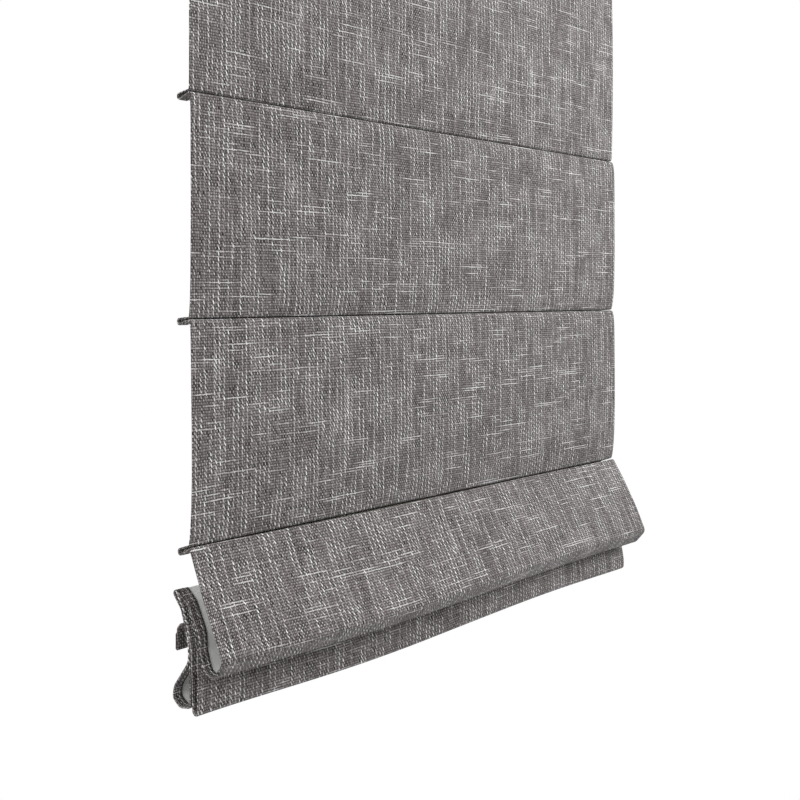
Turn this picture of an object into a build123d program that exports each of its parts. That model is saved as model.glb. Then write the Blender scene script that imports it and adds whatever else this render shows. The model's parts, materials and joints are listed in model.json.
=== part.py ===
"""Roman blind, part raised: lined cloth on rods, hung from a cordless spring headrail.

The frame has its origin at the centre of the four wall screw holes, on the wall plane.
+X runs to the right along the blind's width, +Y into the wall and +Z up. Side views are
drawn in depth (mm behind the cloth's front face) and height (mm along +Z).
"""

import math
import os

from build123d import *

# Cloth
blind_width = 900.0
fold_spacing = 270.0  # from one tuck to the next, down the cloth
top_panel = 323.0  # from the cloth's top edge to the first tuck
face_cloth_thickness = 0.8
lining_thickness = 0.4
layer_gap = 0.15  # air between cloth layers that lie on each other
sheet_gap = 0.5  # air between folds of the raised stack
side_hem_width = 12.0
top_hem_height = 22.0
crease_bend = 3.0  # radius of the cloth where it turns into a tuck

# Tucks, rods and the bottom bar
tuck_depth = 20.0  # from a tuck's seam to the middle of its rod
rod_diameter = 4.0
rod_end_margin = 8.0  # from the cloth's side edge to the rod's end
pocket_clearance = 0.15
bar_height = 17.0
bar_thickness = 2.5
bar_end_margin = 17.0
hem_pocket_height = 26.0

# Rings and lift cords
ring_radius = 8.0  # outside
ring_wire_radius = 0.9
seat_gap = 0.3  # between a ring and the cloth that it is sewn to
cord_diameter = 1.6
cord_side_inset = 100.0  # from the cloth's side edge to the outer cords
knot_diameter = 4.5
tie_slack = 0.5  # between the hem's ring and the loop of cord tied to it

# Headrail
tape_thickness = 1.0
sewn_gap = 0.05  # between the loop tape and the cloth it is sewn to
tape_height = 20.0
tape_end_margin = 10.0
rail_depth = 44.0
rail_height = 42.0
rail_wall = 1.6
rail_end_margin = 4.0
rail_corner = 1.5
slot_opening = 14.0
slot_width = 22.0
slot_height = 3.6
front_lip = 10.0
back_lip = 5.0
cap_thickness = 2.0
cap_plug_length = 10.0
fit_clearance = 0.3

# Brackets
bracket_inset = 150.0  # from the cloth's side edge to a bracket's middle
bracket_width = 28.0
bracket_metal = 2.0
bracket_leg = 44.0
wall_hole_radius = 2.5
wall_hole_pitch = 24.0
screw_head_room = 4.0  # between the rail's back and the bracket's leg
clamp_plate_side = 20.0
clamp_plate_thickness = 2.4
clamp_screw_radius = 2.0
clamp_head_radius = 3.8
clamp_head_height = 2.2
thread_clearance = 0.1

# Lift gear
shaft_across_flats = 6.0
shaft_clearance = 0.1
shaft_overhang = 12.0
spool_radius = 9.2
spool_length = 44.0
flange_radius = 13.5
flange_thickness = 1.6
journal_radius = 6.0
journal_length = 3.6
running_clearance = 0.08
cradle_wall = 3.0
cradle_base = 2.4
cord_hole_radius = 3.0
winding_length = 22.6
winding_clearance = 0.05
housing_length = 30.0
housing_wall = 3.0
housing_height = 32.0
housing_centre = 170.0  # from the middle of the blind
spring_cavity_radius = 14.4
arbor_radius = 7.0
spring_strip = 0.4
spring_pitch = 1.1
spring_turns = 5
spring_width = 20.0
cover_screw_radius = 1.25
cover_screw_length = 9.0
cover_head_radius = 2.3
cover_head_height = 1.4
cover_screw_inset = 3.4

# Layers of the cloth, as distances behind its front face
lining_front = face_cloth_thickness + layer_gap
lining_back = lining_front + lining_thickness
hem_front = lining_back + layer_gap
cloth_depth = hem_front + face_cloth_thickness

# Depths of the headrail and the wall behind the cloth's front face
tape_front = cloth_depth + sewn_gap
rail_front = tape_front + 2 * tape_thickness
rail_back = rail_front + rail_depth
leg_front = rail_back + screw_head_room
wall_depth = leg_front + bracket_metal
bracket_reach = bracket_metal + screw_head_room + rail_depth / 2 + clamp_plate_side / 2
rail_middle = (rail_front + rail_back) / 2
shaft_depth = rail_middle
winding_radius = spool_radius + winding_clearance + cord_diameter / 2
cord_depth = shaft_depth + winding_radius

# Heights: the rail's top stands so that the wall holes' middle is at zero
leg_drop = bracket_leg - bracket_metal
rail_top = leg_drop / 2
rail_bottom = rail_top - rail_height
cavity_bottom = rail_bottom + rail_wall
cavity_top = rail_top - 2 * rail_wall - slot_height
shaft_height = (cavity_bottom + cavity_top) / 2
cloth_top = rail_top
crease_heights = [cloth_top - top_panel - n * fold_spacing for n in range(3)]
last_crease = crease_heights[-1]

half_width = blind_width / 2
half_rail = half_width - rail_end_margin
cord_places = [-(half_width - cord_side_inset), 0.0, half_width - cord_side_inset]
cord_names = ["left", "middle", "right"]
bracket_places = {"left": -(half_width - bracket_inset), "right": half_width - bracket_inset}

os.makedirs("parts", exist_ok=True)


def side(depth, height):
    """A point of a side view, as Y and Z of the blind's own frame."""
    return (depth - wall_depth, height)


def unit(start, end):
    """The direction from one point to the next, of length 1."""
    length = math.dist(start, end)
    return ((end[0] - start[0]) / length, (end[1] - start[1]) / length)


def parallel(route, distance):
    """Corners of a line that runs a distance behind the route of the cloth's front face.

    A route is a list of (depth, height, bend radius). Its back is on the left of the way
    down, so a bend to the left gets tighter behind the face and a bend to the right wider.
    """
    points = [corner[:2] for corner in route]
    ways = [unit(a, b) for a, b in zip(points, points[1:])]
    moved = []
    for n, (depth, height, bend) in enumerate(route):
        before = ways[max(n - 1, 0)]
        after = ways[min(n, len(ways) - 1)]
        share = distance / (1 + before[0] * after[0] + before[1] * after[1])
        turn = before[0] * after[1] - before[1] * after[0]
        moved.append(
            (
                depth - (before[1] + after[1]) * share,
                height + (before[0] + after[0]) * share,
                bend - math.copysign(distance, turn) if bend else 0.0,
            )
        )
    return moved


def ribbon(route, near, far):
    """Draws the strip of cloth between two distances behind the route's front face."""
    outline = parallel(route, near) + parallel(route, far)[::-1]
    with BuildLine() as border:
        FilletPolyline(
            *[side(depth, height) for depth, height, _ in outline],
            radius=[bend for _, _, bend in outline],
            close=True,
        )
    make_face(border.edges())


# A tuck's two flanks start close together at its mouth and open to hold the rod.
mouth_gap = 0.5
pocket_radius = rod_diameter / 2 + pocket_clearance
tip_radius = pocket_radius + cloth_depth  # round the rod, outside the side hems
lined_tip_radius = pocket_radius + lining_back  # between the side hems
tip_bend = 0.93 * pocket_radius


def rod_centre(mouth, tilt, reach):
    """The middle of the rod of a tuck that leaves its mouth at a tilt above level."""
    angle = math.radians(tilt)
    return (mouth[0] + reach * math.cos(angle), mouth[1] + reach * math.sin(angle))


def tuck(mouth, tilt, reach, bend):
    """Corners of one tuck: out along its upper flank, round the rod and back below."""
    along = (math.cos(math.radians(tilt)), math.sin(math.radians(tilt)))
    half_gap = mouth_gap / 2
    end = reach + pocket_radius
    end_half = half_gap + (pocket_radius - half_gap) * end / reach
    tip = (mouth[0] + end * along[0], mouth[1] + end * along[1])
    return [
        (mouth[0], mouth[1] + half_gap, bend),
        (tip[0] - end_half * along[1], tip[1] + end_half * along[0], tip_bend),
        (tip[0] + end_half * along[1], tip[1] - end_half * along[0], tip_bend),
        (mouth[0], mouth[1] - half_gap, bend),
    ]


# The raised stack below the last crease. Three loops of one fold spacing each hang there:
# an open one in front, a flat one behind it and a round one at the back.
hanging_tilts = [-10.0, -10.0, -24.0]
panel_reach = crease_bend + tuck_depth


def stack(depth, share_below):
    """A point of the stack: its depth, and its drop as a share of the fold spacing."""
    return (depth, last_crease - share_below * fold_spacing)


fourth_tilt, fifth_tilt = 27.3, 48.6
fourth_seam = stack(3.0, 0.250)
fourth_rod = rod_centre(fourth_seam, fourth_tilt, tuck_depth)
tip_spread = 2 * tip_radius + 2 * sheet_gap
fifth_rod = rod_centre(fourth_rod, -17.0, tip_spread)
fifth_seam = rod_centre(fifth_rod, fifth_tilt + 180, tuck_depth)

flat_front = -18.6
flat_width = 12.3
flat_bend = flat_width / 2 - layer_gap
round_front = -1.7
flap_front = 25.0
flap_back = flap_front + lining_back + bar_thickness + 2 * layer_gap + face_cloth_thickness
flap_bend = (flap_back - flap_front) / 2 - 0.1
flap_top = last_crease - 0.381 * fold_spacing
flap_bottom = flap_top - hem_pocket_height
seam_height = 2.0  # of the seam that holds the pocket's back layer on the lining
seam_closing = 2.5  # height over which that layer comes in to the seam


def below(depth, share_below, bend):
    """A corner of the stack."""
    return (*stack(depth, share_below), bend)


hanging_route = []
for crease, tilt in zip(crease_heights, hanging_tilts):
    hanging_route += tuck((0.0, crease), tilt, panel_reach, crease_bend)

open_loop = [
    below(-29.0, 0.215, 120.0),
    below(-67.5, 0.447, 10.0),
    below(-49.0, 0.540, 12.0),
    below(-28.5, 0.527, 12.0),
    below(flat_front, 0.440, 20.0),
    below(flat_front, 0.370, 30.0),
]
flat_loop = [
    below(flat_front + sheet_gap, 0.375, 25.0),
    below(flat_front + sheet_gap, 0.728, flat_bend),
    below(flat_front + sheet_gap + flat_width, 0.728, flat_bend),
    below(round_front - sheet_gap, 0.437, 40.0),
]
round_sheet = [
    (*fifth_seam, 0.0),
    below(round_front, 0.437, 40.0),
    below(round_front, 0.708, 8.0),
]
# The rear sheet of the round loop lies on the front one at its neck.
neck_top, neck_bend, neck_end = parallel(round_sheet, 2 * cloth_depth + sheet_gap)
neck_share = 0.62
round_loop = round_sheet[1:] + [
    below(21.0, 0.728, 14.0),
    below(37.0, 0.697, 8.0),
    below(34.0, 0.640, 20.0),
    below(neck_end[0], 0.505, 18.0),
    neck_bend,
    (
        neck_bend[0] + neck_share * (neck_top[0] - neck_bend[0]),
        neck_bend[1] + neck_share * (neck_top[1] - neck_bend[1]),
        5.0,
    ),
]
fourth_tuck = tuck(fourth_seam, fourth_tilt, tuck_depth, 6.0)
fifth_tuck = tuck(fifth_seam, fifth_tilt, tuck_depth, 6.0)
flap = [
    (flap_front, flap_top, 3.0),
    (flap_front, flap_bottom, flap_bend),
]
lining_end = flap_bottom + flap_bend

top_bend = 1.0
top_edge = [(0.0, cloth_top - top_bend - layer_gap, 0.0)]
folds = hanging_route + open_loop + fourth_tuck + flat_loop + fifth_tuck + round_loop
cloth_route = top_edge + folds + [flap[0], (flap_front, lining_end, 0.0)]
face_route = [
    (cloth_depth, cloth_top - top_hem_height, 0.0),
    (cloth_depth, cloth_top, top_bend),
    (0.0, cloth_top, top_bend),
    *folds,
    *flap,
    (flap_back, flap_bottom, flap_bend),
    (flap_back, flap_top - 2 * seam_height - seam_closing, 2.0),
    (flap_front + cloth_depth, flap_top - 2 * seam_height, 2.0),
    (flap_front + cloth_depth, flap_top - seam_height, 0.0),
]

# Face cloth: one piece, turned over the lining at the top, the sides and the bottom
with BuildPart() as face_cloth:
    with BuildSketch(Plane.YZ.offset(-half_width)):
        ribbon(face_route, 0.0, face_cloth_thickness)
    extrude(amount=blind_width)
    for edge, inward in ((-half_width, 1), (half_width, -1)):
        with BuildSketch(Plane.YZ.offset(edge)):
            ribbon(cloth_route, hem_front, cloth_depth)
        extrude(amount=inward * side_hem_width)
        with BuildSketch(Plane.YZ.offset(edge)):
            ribbon(cloth_route, face_cloth_thickness, hem_front)
        extrude(amount=inward * face_cloth_thickness)
face_cloth.part.label = "face_cloth"
export_step(face_cloth.part, "parts/face_cloth.step")

# Lining: tucked inside the face cloth's hems
lining_half = half_width - face_cloth_thickness - layer_gap
with BuildPart() as lining:
    with BuildSketch(Plane.YZ.offset(-lining_half)):
        ribbon(cloth_route, lining_front, lining_back)
    extrude(amount=2 * lining_half)
lining.part.label = "lining"
export_step(lining.part, "parts/lining.step")

# Rods, one in each tuck
rod_places = [
    rod_centre((0.0, crease), tilt, panel_reach)
    for crease, tilt in zip(crease_heights, hanging_tilts)
]
rod_places += [fourth_rod, fifth_rod]
half_rod = half_width - rod_end_margin
for n, (depth, height) in enumerate(rod_places, start=1):
    with BuildPart() as rod:
        with BuildSketch(Plane.YZ.offset(-half_rod)):
            with Locations(side(depth, height)):
                Circle(rod_diameter / 2)
        extrude(amount=2 * half_rod)
        chamfer(rod.edges().filter_by(GeomType.CIRCLE), 0.5)
    rod.part.label = f"rod_{n}"
    export_step(rod.part, f"parts/rod_{n}.step")

# Bottom bar, in the hem's pocket
bar_depth = flap_front + lining_back + layer_gap + bar_thickness / 2
bar_clear = flap_bottom + face_cloth_thickness + 2 * layer_gap
bar_middle = bar_clear + bar_height / 2
half_bar = half_width - bar_end_margin
with BuildPart() as bottom_bar:
    with BuildSketch(Plane.YZ.offset(-half_bar)):
        with Locations(side(bar_depth, bar_middle)):
            RectangleRounded(bar_thickness, bar_height, 0.45 * bar_thickness)
    extrude(amount=2 * half_bar)
bottom_bar.part.label = "bottom_bar"
export_step(bottom_bar.part, "parts/bottom_bar.step")

# Rings: level ones sewn to the tucks' tips, and upright ones at the bottom hem
wire_circle = ring_radius - ring_wire_radius
seat_distance = lined_tip_radius + ring_wire_radius + seat_gap
fifth_ring_height = fifth_rod[1] + 0.9 * seat_distance
fourth_ring_height = fifth_ring_height + 2 * ring_wire_radius + seat_gap


def level_ring(rod_place, height):
    """The middle of a level ring whose wire touches the tuck round a rod."""
    rise = height - rod_place[1]
    return (rod_place[0] + math.sqrt(seat_distance**2 - rise**2) + wire_circle, height)


ring_places = [level_ring(place, place[1]) for place in rod_places[:3]]
ring_places.append(level_ring(fourth_rod, fourth_ring_height))
ring_places.append(level_ring(fifth_rod, fifth_ring_height))
for n, (depth, height) in enumerate(ring_places, start=1):
    with BuildPart() as tuck_rings:
        for place in cord_places:
            with Locations((place, *side(depth, height))):
                Torus(wire_circle, ring_wire_radius)
    tuck_rings.part.label = f"tuck_rings_{n}"
    export_step(tuck_rings.part, f"parts/tuck_rings_{n}.step")

hem_ring_depth = flap_back + seat_gap + ring_wire_radius
hem_ring_height = flap_top + 0.4 * wire_circle
with BuildPart() as hem_rings:
    for place in cord_places:
        with Locations((place, *side(hem_ring_depth, hem_ring_height))):
            Torus(wire_circle, ring_wire_radius, rotation=(90, 0, 0))
hem_rings.part.label = "hem_rings"
export_step(hem_rings.part, "parts/hem_rings.step")

# Lift cords: straight down from the spools, past the tucks, to a knot on the hem's rings
cord_radius = cord_diameter / 2
tie_height = hem_ring_height + wire_circle
tie_loop_radius = ring_wire_radius + tie_slack + cord_radius
knot_height = tie_height + ring_wire_radius + seat_gap + knot_diameter / 2
cord_bend = (
    max(cord_depth, fifth_rod[0] + lined_tip_radius + cord_radius + seat_gap),
    fifth_rod[1],
)
cord_bend_radius = 40.0
for name, place in zip(cord_names, cord_places):
    with BuildPart() as lift_cord:
        with BuildLine(Plane.YZ.offset(place)) as cord_line:
            FilletPolyline(
                side(cord_depth, shaft_height),
                side(*cord_bend),
                side(hem_ring_depth, knot_height),
                radius=cord_bend_radius,
            )
        with BuildSketch(Plane.XY.offset(shaft_height)):
            with Locations((place, side(cord_depth, 0)[0])):
                Circle(cord_radius)
        sweep(path=cord_line.line)
        with Locations((place, *side(hem_ring_depth, knot_height))):
            Sphere(knot_diameter / 2, rotation=(0, 90, 0))
        with Locations((place, *side(hem_ring_depth, tie_height))):
            Torus(tie_loop_radius, cord_radius, rotation=(0, 90, 0))
    lift_cord.part.label = f"lift_cord_{name}"
    export_step(lift_cord.part, f"parts/lift_cord_{name}.step")

# Hook and loop tapes that hold the cloth on the headrail
half_tape = half_width - tape_end_margin
tape_top = cloth_top - (top_hem_height - tape_height) / 2
for name, front in (("loop_tape", tape_front), ("hook_tape", tape_front + tape_thickness)):
    with BuildPart() as tape:
        with Locations((0, side(front, 0)[0], tape_top - tape_height)):
            Box(
                2 * half_tape,
                tape_thickness,
                tape_height,
                align=(Align.CENTER, Align.MIN, Align.MIN),
            )
    tape.part.label = name
    export_step(tape.part, f"parts/{name}.step")


def rail_block(depth, height, size_y, size_z):
    """Draws a rectangle of the rail's section from its lower front corner."""
    with Locations(side(depth, height)):
        Rectangle(size_y, size_z, align=(Align.MIN, Align.MIN))


# Headrail: an aluminium channel, slotted on top for the clamp plates and open below
cavity_width = rail_depth - 2 * rail_wall
slot_floor = cavity_top + rail_wall
with BuildPart() as headrail:
    with BuildSketch(Plane.YZ.offset(-half_rail)):
        with Locations(side(rail_middle, rail_top - rail_height / 2)):
            RectangleRounded(rail_depth, rail_height, rail_corner)
            Rectangle(cavity_width, rail_height - 2 * rail_wall, mode=Mode.SUBTRACT)
        rail_block(
            rail_middle - slot_width / 2 - rail_wall,
            cavity_top,
            slot_width + 2 * rail_wall,
            rail_top - cavity_top - rail_wall / 2,
        )
        with Locations(side(rail_middle, slot_floor + slot_height / 2)):
            Rectangle(slot_width, slot_height, mode=Mode.SUBTRACT)
        with Locations(side(rail_middle, rail_top)):
            Rectangle(slot_opening, 3 * rail_wall, mode=Mode.SUBTRACT)
        with Locations(side(rail_front + front_lip, rail_bottom)):
            Rectangle(
                rail_depth - front_lip - back_lip,
                3 * rail_wall,
                align=(Align.MIN, Align.CENTER),
                mode=Mode.SUBTRACT,
            )
    extrude(amount=2 * half_rail)
headrail.part.label = "headrail"
export_step(headrail.part, "parts/headrail.step")

# End caps: a plate over each end of the rail, with a plug that goes into it
plug_height = cavity_top - cavity_bottom - 2 * fit_clearance
plug_width = cavity_width - 2 * fit_clearance
plug_wall = 2.0
cavity_middle = (cavity_top + cavity_bottom) / 2
for name, outward in (("left", -1), ("right", 1)):
    with BuildPart() as end_cap:
        with BuildSketch(Plane.YZ.offset(outward * half_rail)):
            with Locations(side(rail_middle, rail_top - rail_height / 2)):
                RectangleRounded(rail_depth, rail_height, rail_corner)
        extrude(amount=outward * cap_thickness)
        with BuildSketch(Plane.YZ.offset(outward * half_rail)):
            with Locations(side(rail_middle, cavity_middle)):
                Rectangle(plug_width, plug_height)
                Rectangle(
                    plug_width - 2 * plug_wall,
                    plug_height - 2 * plug_wall,
                    mode=Mode.SUBTRACT,
                )
        extrude(amount=-outward * cap_plug_length)
    end_cap.part.label = f"end_cap_{name}"
    export_step(end_cap.part, f"parts/end_cap_{name}.step")

# Wall brackets, each with a clamp plate in the rail's slot and a clamp screw
arm_top = rail_top + bracket_metal
hole_heights = [wall_hole_pitch / 2, -wall_hole_pitch / 2]
plate_top = rail_top - rail_wall
screw_length = bracket_metal + rail_wall + clamp_plate_thickness + seat_gap
arm_hole_radius = clamp_screw_radius + 3 * thread_clearance
for name, place in bracket_places.items():
    with BuildPart() as bracket:
        with BuildSketch(Plane.YZ.offset(place - bracket_width / 2)):
            rail_block(wall_depth - bracket_reach, rail_top, bracket_reach, bracket_metal)
            rail_block(leg_front, rail_top - leg_drop, bracket_metal, leg_drop)
            outer_corner = [
                vertex
                for vertex in vertices()
                if math.dist((vertex.X, vertex.Y), side(wall_depth, arm_top)) < 0.01
            ]
            fillet(outer_corner, 0.9 * bracket_metal)
        extrude(amount=bracket_width)
        with Locations(Plane.XZ):
            with Locations(*[(place, height) for height in hole_heights]):
                Hole(wall_hole_radius, depth=2 * bracket_metal)
        with Locations((place, side(rail_middle, 0)[0], arm_top)):
            Hole(arm_hole_radius, depth=2 * bracket_metal)
    bracket.part.label = f"bracket_{name}"
    export_step(bracket.part, f"parts/bracket_{name}.step")

    with BuildPart() as clamp_plate:
        with Locations((place, side(rail_middle, 0)[0], plate_top)):
            Box(
                clamp_plate_side,
                clamp_plate_side,
                clamp_plate_thickness,
                align=(Align.CENTER, Align.CENTER, Align.MAX),
            )
            Hole(clamp_screw_radius + thread_clearance)
        fillet(clamp_plate.edges().filter_by(Axis.Z).filter_by(GeomType.LINE), 2.0)
    clamp_plate.part.label = f"clamp_plate_{name}"
    export_step(clamp_plate.part, f"parts/clamp_plate_{name}.step")

    with BuildPart() as clamp_screw:
        with Locations((place, side(rail_middle, 0)[0], arm_top)):
            Cylinder(
                clamp_head_radius,
                clamp_head_height,
                align=(Align.CENTER, Align.CENTER, Align.MIN),
            )
            fillet(clamp_screw.edges().group_by(Axis.Z)[-1], 0.4 * clamp_head_height)
            Cylinder(
                clamp_screw_radius,
                screw_length,
                align=(Align.CENTER, Align.CENTER, Align.MAX),
            )
        with Locations((place, side(rail_middle, 0)[0], arm_top + clamp_head_height)):
            Box(clamp_head_radius, 0.8, 2.0, mode=Mode.SUBTRACT)
            Box(0.8, clamp_head_radius, 2.0, mode=Mode.SUBTRACT)
    clamp_screw.part.label = f"clamp_screw_{name}"
    export_step(clamp_screw.part, f"parts/clamp_screw_{name}.step")

# Drive shaft: hexagonal, through every spool and the spring's arbor
half_shaft = cord_places[-1] + spool_length / 2 + journal_length + flange_thickness + shaft_overhang
shaft_place = side(shaft_depth, shaft_height)
shaft_corner_radius = shaft_across_flats / math.sqrt(3)
bore_corner_radius = shaft_corner_radius + shaft_clearance
with BuildPart() as drive_shaft:
    with BuildSketch(Plane.YZ.offset(-half_shaft)):
        with Locations(shaft_place):
            RegularPolygon(shaft_corner_radius, 6)
    extrude(amount=2 * half_shaft)
drive_shaft.part.label = "drive_shaft"
export_step(drive_shaft.part, "parts/drive_shaft.step")


def turned(start, steps):
    """Turns a stepped body on the shaft's line, from X start, of (radius, length) steps."""
    for radius, length in steps:
        with BuildSketch(Plane.YZ.offset(start)) as step:
            with Locations(shaft_place):
                Circle(radius)
        extrude(step.sketch, amount=length)
        start += length


def hexagon_bore(start, length):
    """Cuts the bore that the shaft goes through."""
    with BuildSketch(Plane.YZ.offset(start)) as bore:
        with Locations(shaft_place):
            RegularPolygon(bore_corner_radius, 6)
    extrude(bore.sketch, amount=length, mode=Mode.SUBTRACT)


# Cord spools with their windings, each in a cradle that stands in the rail
winding_gap = 0.2
spool_total = spool_length + 2 * flange_thickness + 2 * journal_length
cord_offset = journal_length + flange_thickness + winding_gap + winding_length + cord_diameter
side_clearance = 0.3
cradle_length = spool_length + 2 * flange_thickness + 2 * side_clearance + 2 * cradle_wall
cradle_width = cavity_width - 2 * fit_clearance
cradle_height = shaft_height + journal_radius + 3.0 - cavity_bottom
for name, place in zip(cord_names, cord_places):
    spool_start = place - cord_offset
    drum_start = spool_start + journal_length + flange_thickness
    with BuildPart() as cord_spool:
        turned(
            spool_start,
            [
                (journal_radius, journal_length),
                (flange_radius, flange_thickness),
                (spool_radius, spool_length),
                (flange_radius, flange_thickness),
                (journal_radius, journal_length),
            ],
        )
        hexagon_bore(spool_start, spool_total)
    cord_spool.part.label = f"cord_spool_{name}"
    export_step(cord_spool.part, f"parts/cord_spool_{name}.step")

    with BuildPart() as cord_winding:
        with BuildSketch(Plane.YZ.offset(drum_start + winding_gap)):
            with Locations(shaft_place):
                Circle(spool_radius + winding_clearance + cord_diameter)
                Circle(spool_radius + winding_clearance, mode=Mode.SUBTRACT)
        extrude(amount=winding_length)
    cord_winding.part.label = f"cord_winding_{name}"
    export_step(cord_winding.part, f"parts/cord_winding_{name}.step")

    cradle_start = spool_start + journal_length - side_clearance - cradle_wall
    with BuildPart() as spool_cradle:
        with BuildSketch(Plane.YZ.offset(cradle_start)):
            with Locations(side(rail_middle, cavity_bottom)):
                Rectangle(cradle_width, cradle_height, align=(Align.CENTER, Align.MIN))
        extrude(amount=cradle_length)
        with BuildSketch(Plane.YZ.offset(cradle_start + cradle_wall)):
            with Locations(side(rail_middle, cavity_bottom + cradle_base)):
                Rectangle(cradle_width, cradle_height, align=(Align.CENTER, Align.MIN))
        extrude(amount=cradle_length - 2 * cradle_wall, mode=Mode.SUBTRACT)
        with BuildSketch(Plane.YZ.offset(cradle_start)):
            with Locations(shaft_place):
                Circle(journal_radius + running_clearance)
                Rectangle(
                    1.7 * journal_radius,
                    2 * cradle_height,
                    align=(Align.CENTER, Align.MIN),
                )
        extrude(amount=cradle_length, mode=Mode.SUBTRACT)
        with Locations((place, side(cord_depth, 0)[0], cavity_bottom)):
            Cylinder(cord_hole_radius, 3 * cradle_base, mode=Mode.SUBTRACT)
    spool_cradle.part.label = f"spool_cradle_{name}"
    export_step(spool_cradle.part, f"parts/spool_cradle_{name}.step")

# Spring motor: a housing with its cover, and a clock spring round an arbor on the shaft
housing_width = cavity_width - 2 * fit_clearance
housing_start = housing_centre - housing_length / 2
cover_start = housing_start + housing_length
housing_middle = side(rail_middle, cavity_bottom + housing_height / 2)
screw_across = housing_width / 2 - cover_screw_inset
screw_up = housing_height / 2 - cover_screw_inset
screw_places = [
    (housing_middle[0] + across * screw_across, housing_middle[1] + up * screw_up)
    for across, up in ((-1, -1), (-1, 1), (1, -1), (1, 1))
]
with BuildPart() as spring_housing:
    with BuildSketch(Plane.YZ.offset(housing_start)):
        with Locations(housing_middle):
            RectangleRounded(housing_width, housing_height, rail_corner)
    extrude(amount=housing_length)
    with BuildSketch(Plane.YZ.offset(cover_start)):
        with Locations(shaft_place):
            Circle(spring_cavity_radius)
    extrude(amount=housing_wall - housing_length, mode=Mode.SUBTRACT)
    with BuildSketch(Plane.YZ.offset(housing_start)):
        with Locations(shaft_place):
            Circle(journal_radius + running_clearance)
    extrude(amount=housing_wall, mode=Mode.SUBTRACT)
    with BuildSketch(Plane.YZ.offset(cover_start)):
        with Locations(*screw_places):
            Circle(cover_screw_radius + thread_clearance)
    extrude(amount=-cover_screw_length, mode=Mode.SUBTRACT)
spring_housing.part.label = "spring_housing"
export_step(spring_housing.part, "parts/spring_housing.step")

with BuildPart() as spring_cover:
    with BuildSketch(Plane.YZ.offset(cover_start)):
        with Locations(housing_middle):
            RectangleRounded(housing_width, housing_height, rail_corner)
        with Locations(shaft_place):
            Circle(journal_radius + running_clearance, mode=Mode.SUBTRACT)
        with Locations(*screw_places):
            Circle(cover_screw_radius + thread_clearance, mode=Mode.SUBTRACT)
    extrude(amount=housing_wall)
spring_cover.part.label = "spring_cover"
export_step(spring_cover.part, "parts/spring_cover.step")

with BuildPart() as cover_screws:
    with BuildSketch(Plane.YZ.offset(cover_start + housing_wall)):
        with Locations(*screw_places):
            Circle(cover_head_radius)
    extrude(amount=cover_head_height)
    with BuildSketch(Plane.YZ.offset(cover_start + housing_wall)):
        with Locations(*screw_places):
            Circle(cover_screw_radius)
    extrude(amount=-cover_screw_length)
cover_screws.part.label = "cover_screws"
export_step(cover_screws.part, "parts/cover_screws.step")

# The arbor's barrel fills the housing between its walls, and its journals run in them.
barrel_length = housing_length - housing_wall - 2 * side_clearance
with BuildPart() as spring_arbor:
    turned(
        housing_start,
        [
            (journal_radius, housing_wall + side_clearance),
            (arbor_radius, barrel_length),
            (journal_radius, housing_wall + side_clearance),
        ],
    )
    hexagon_bore(housing_start, housing_length + housing_wall)
spring_arbor.part.label = "spring_arbor"
export_step(spring_arbor.part, "parts/spring_arbor.step")


def spiral(start_radius):
    """Draws half circles that grow by half a pitch each, from the shaft's right side."""
    centre_y, centre_z = shaft_place
    radius, shift, turn_side = start_radius, 0.0, 1
    for _ in range(2 * spring_turns):
        CenterArc(
            (centre_y + shift, centre_z),
            radius,
            0 if turn_side > 0 else 180,
            180,
        )
        radius += spring_pitch / 2
        shift += turn_side * spring_pitch / 2
        turn_side = -turn_side


spring_start = arbor_radius + seat_gap
spring_side = (housing_length - housing_wall - spring_width) / 2
with BuildPart() as mainspring:
    with BuildSketch(Plane.YZ.offset(housing_start + housing_wall + spring_side)):
        with BuildLine() as strip:
            spiral(spring_start)
            spiral(spring_start + spring_strip)
            first_end = shaft_place[0] + spring_start
            Line(
                (first_end, shaft_place[1]),
                (first_end + spring_strip, shaft_place[1]),
            )
            last_end = first_end + spring_turns * spring_pitch
            Line(
                (last_end, shaft_place[1]),
                (last_end + spring_strip, shaft_place[1]),
            )
        make_face()
    extrude(amount=spring_width)
mainspring.part.label = "mainspring"
export_step(mainspring.part, "parts/mainspring.step")
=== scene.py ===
"""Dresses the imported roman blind: its cloth, lining and hardware finishes, light and camera.

The face cloth and the lining are two sheets that are folded along the same side profile as
the solids. Lengths in the classes are millimetres, and meshes are written in metres.
"""

import json
import logging
import math
from abc import ABC, abstractmethod
from collections.abc import Iterable, Sequence
from dataclasses import dataclass, field
from enum import Enum, IntEnum

import bmesh
import bpy
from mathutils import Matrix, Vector, noise

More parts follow.
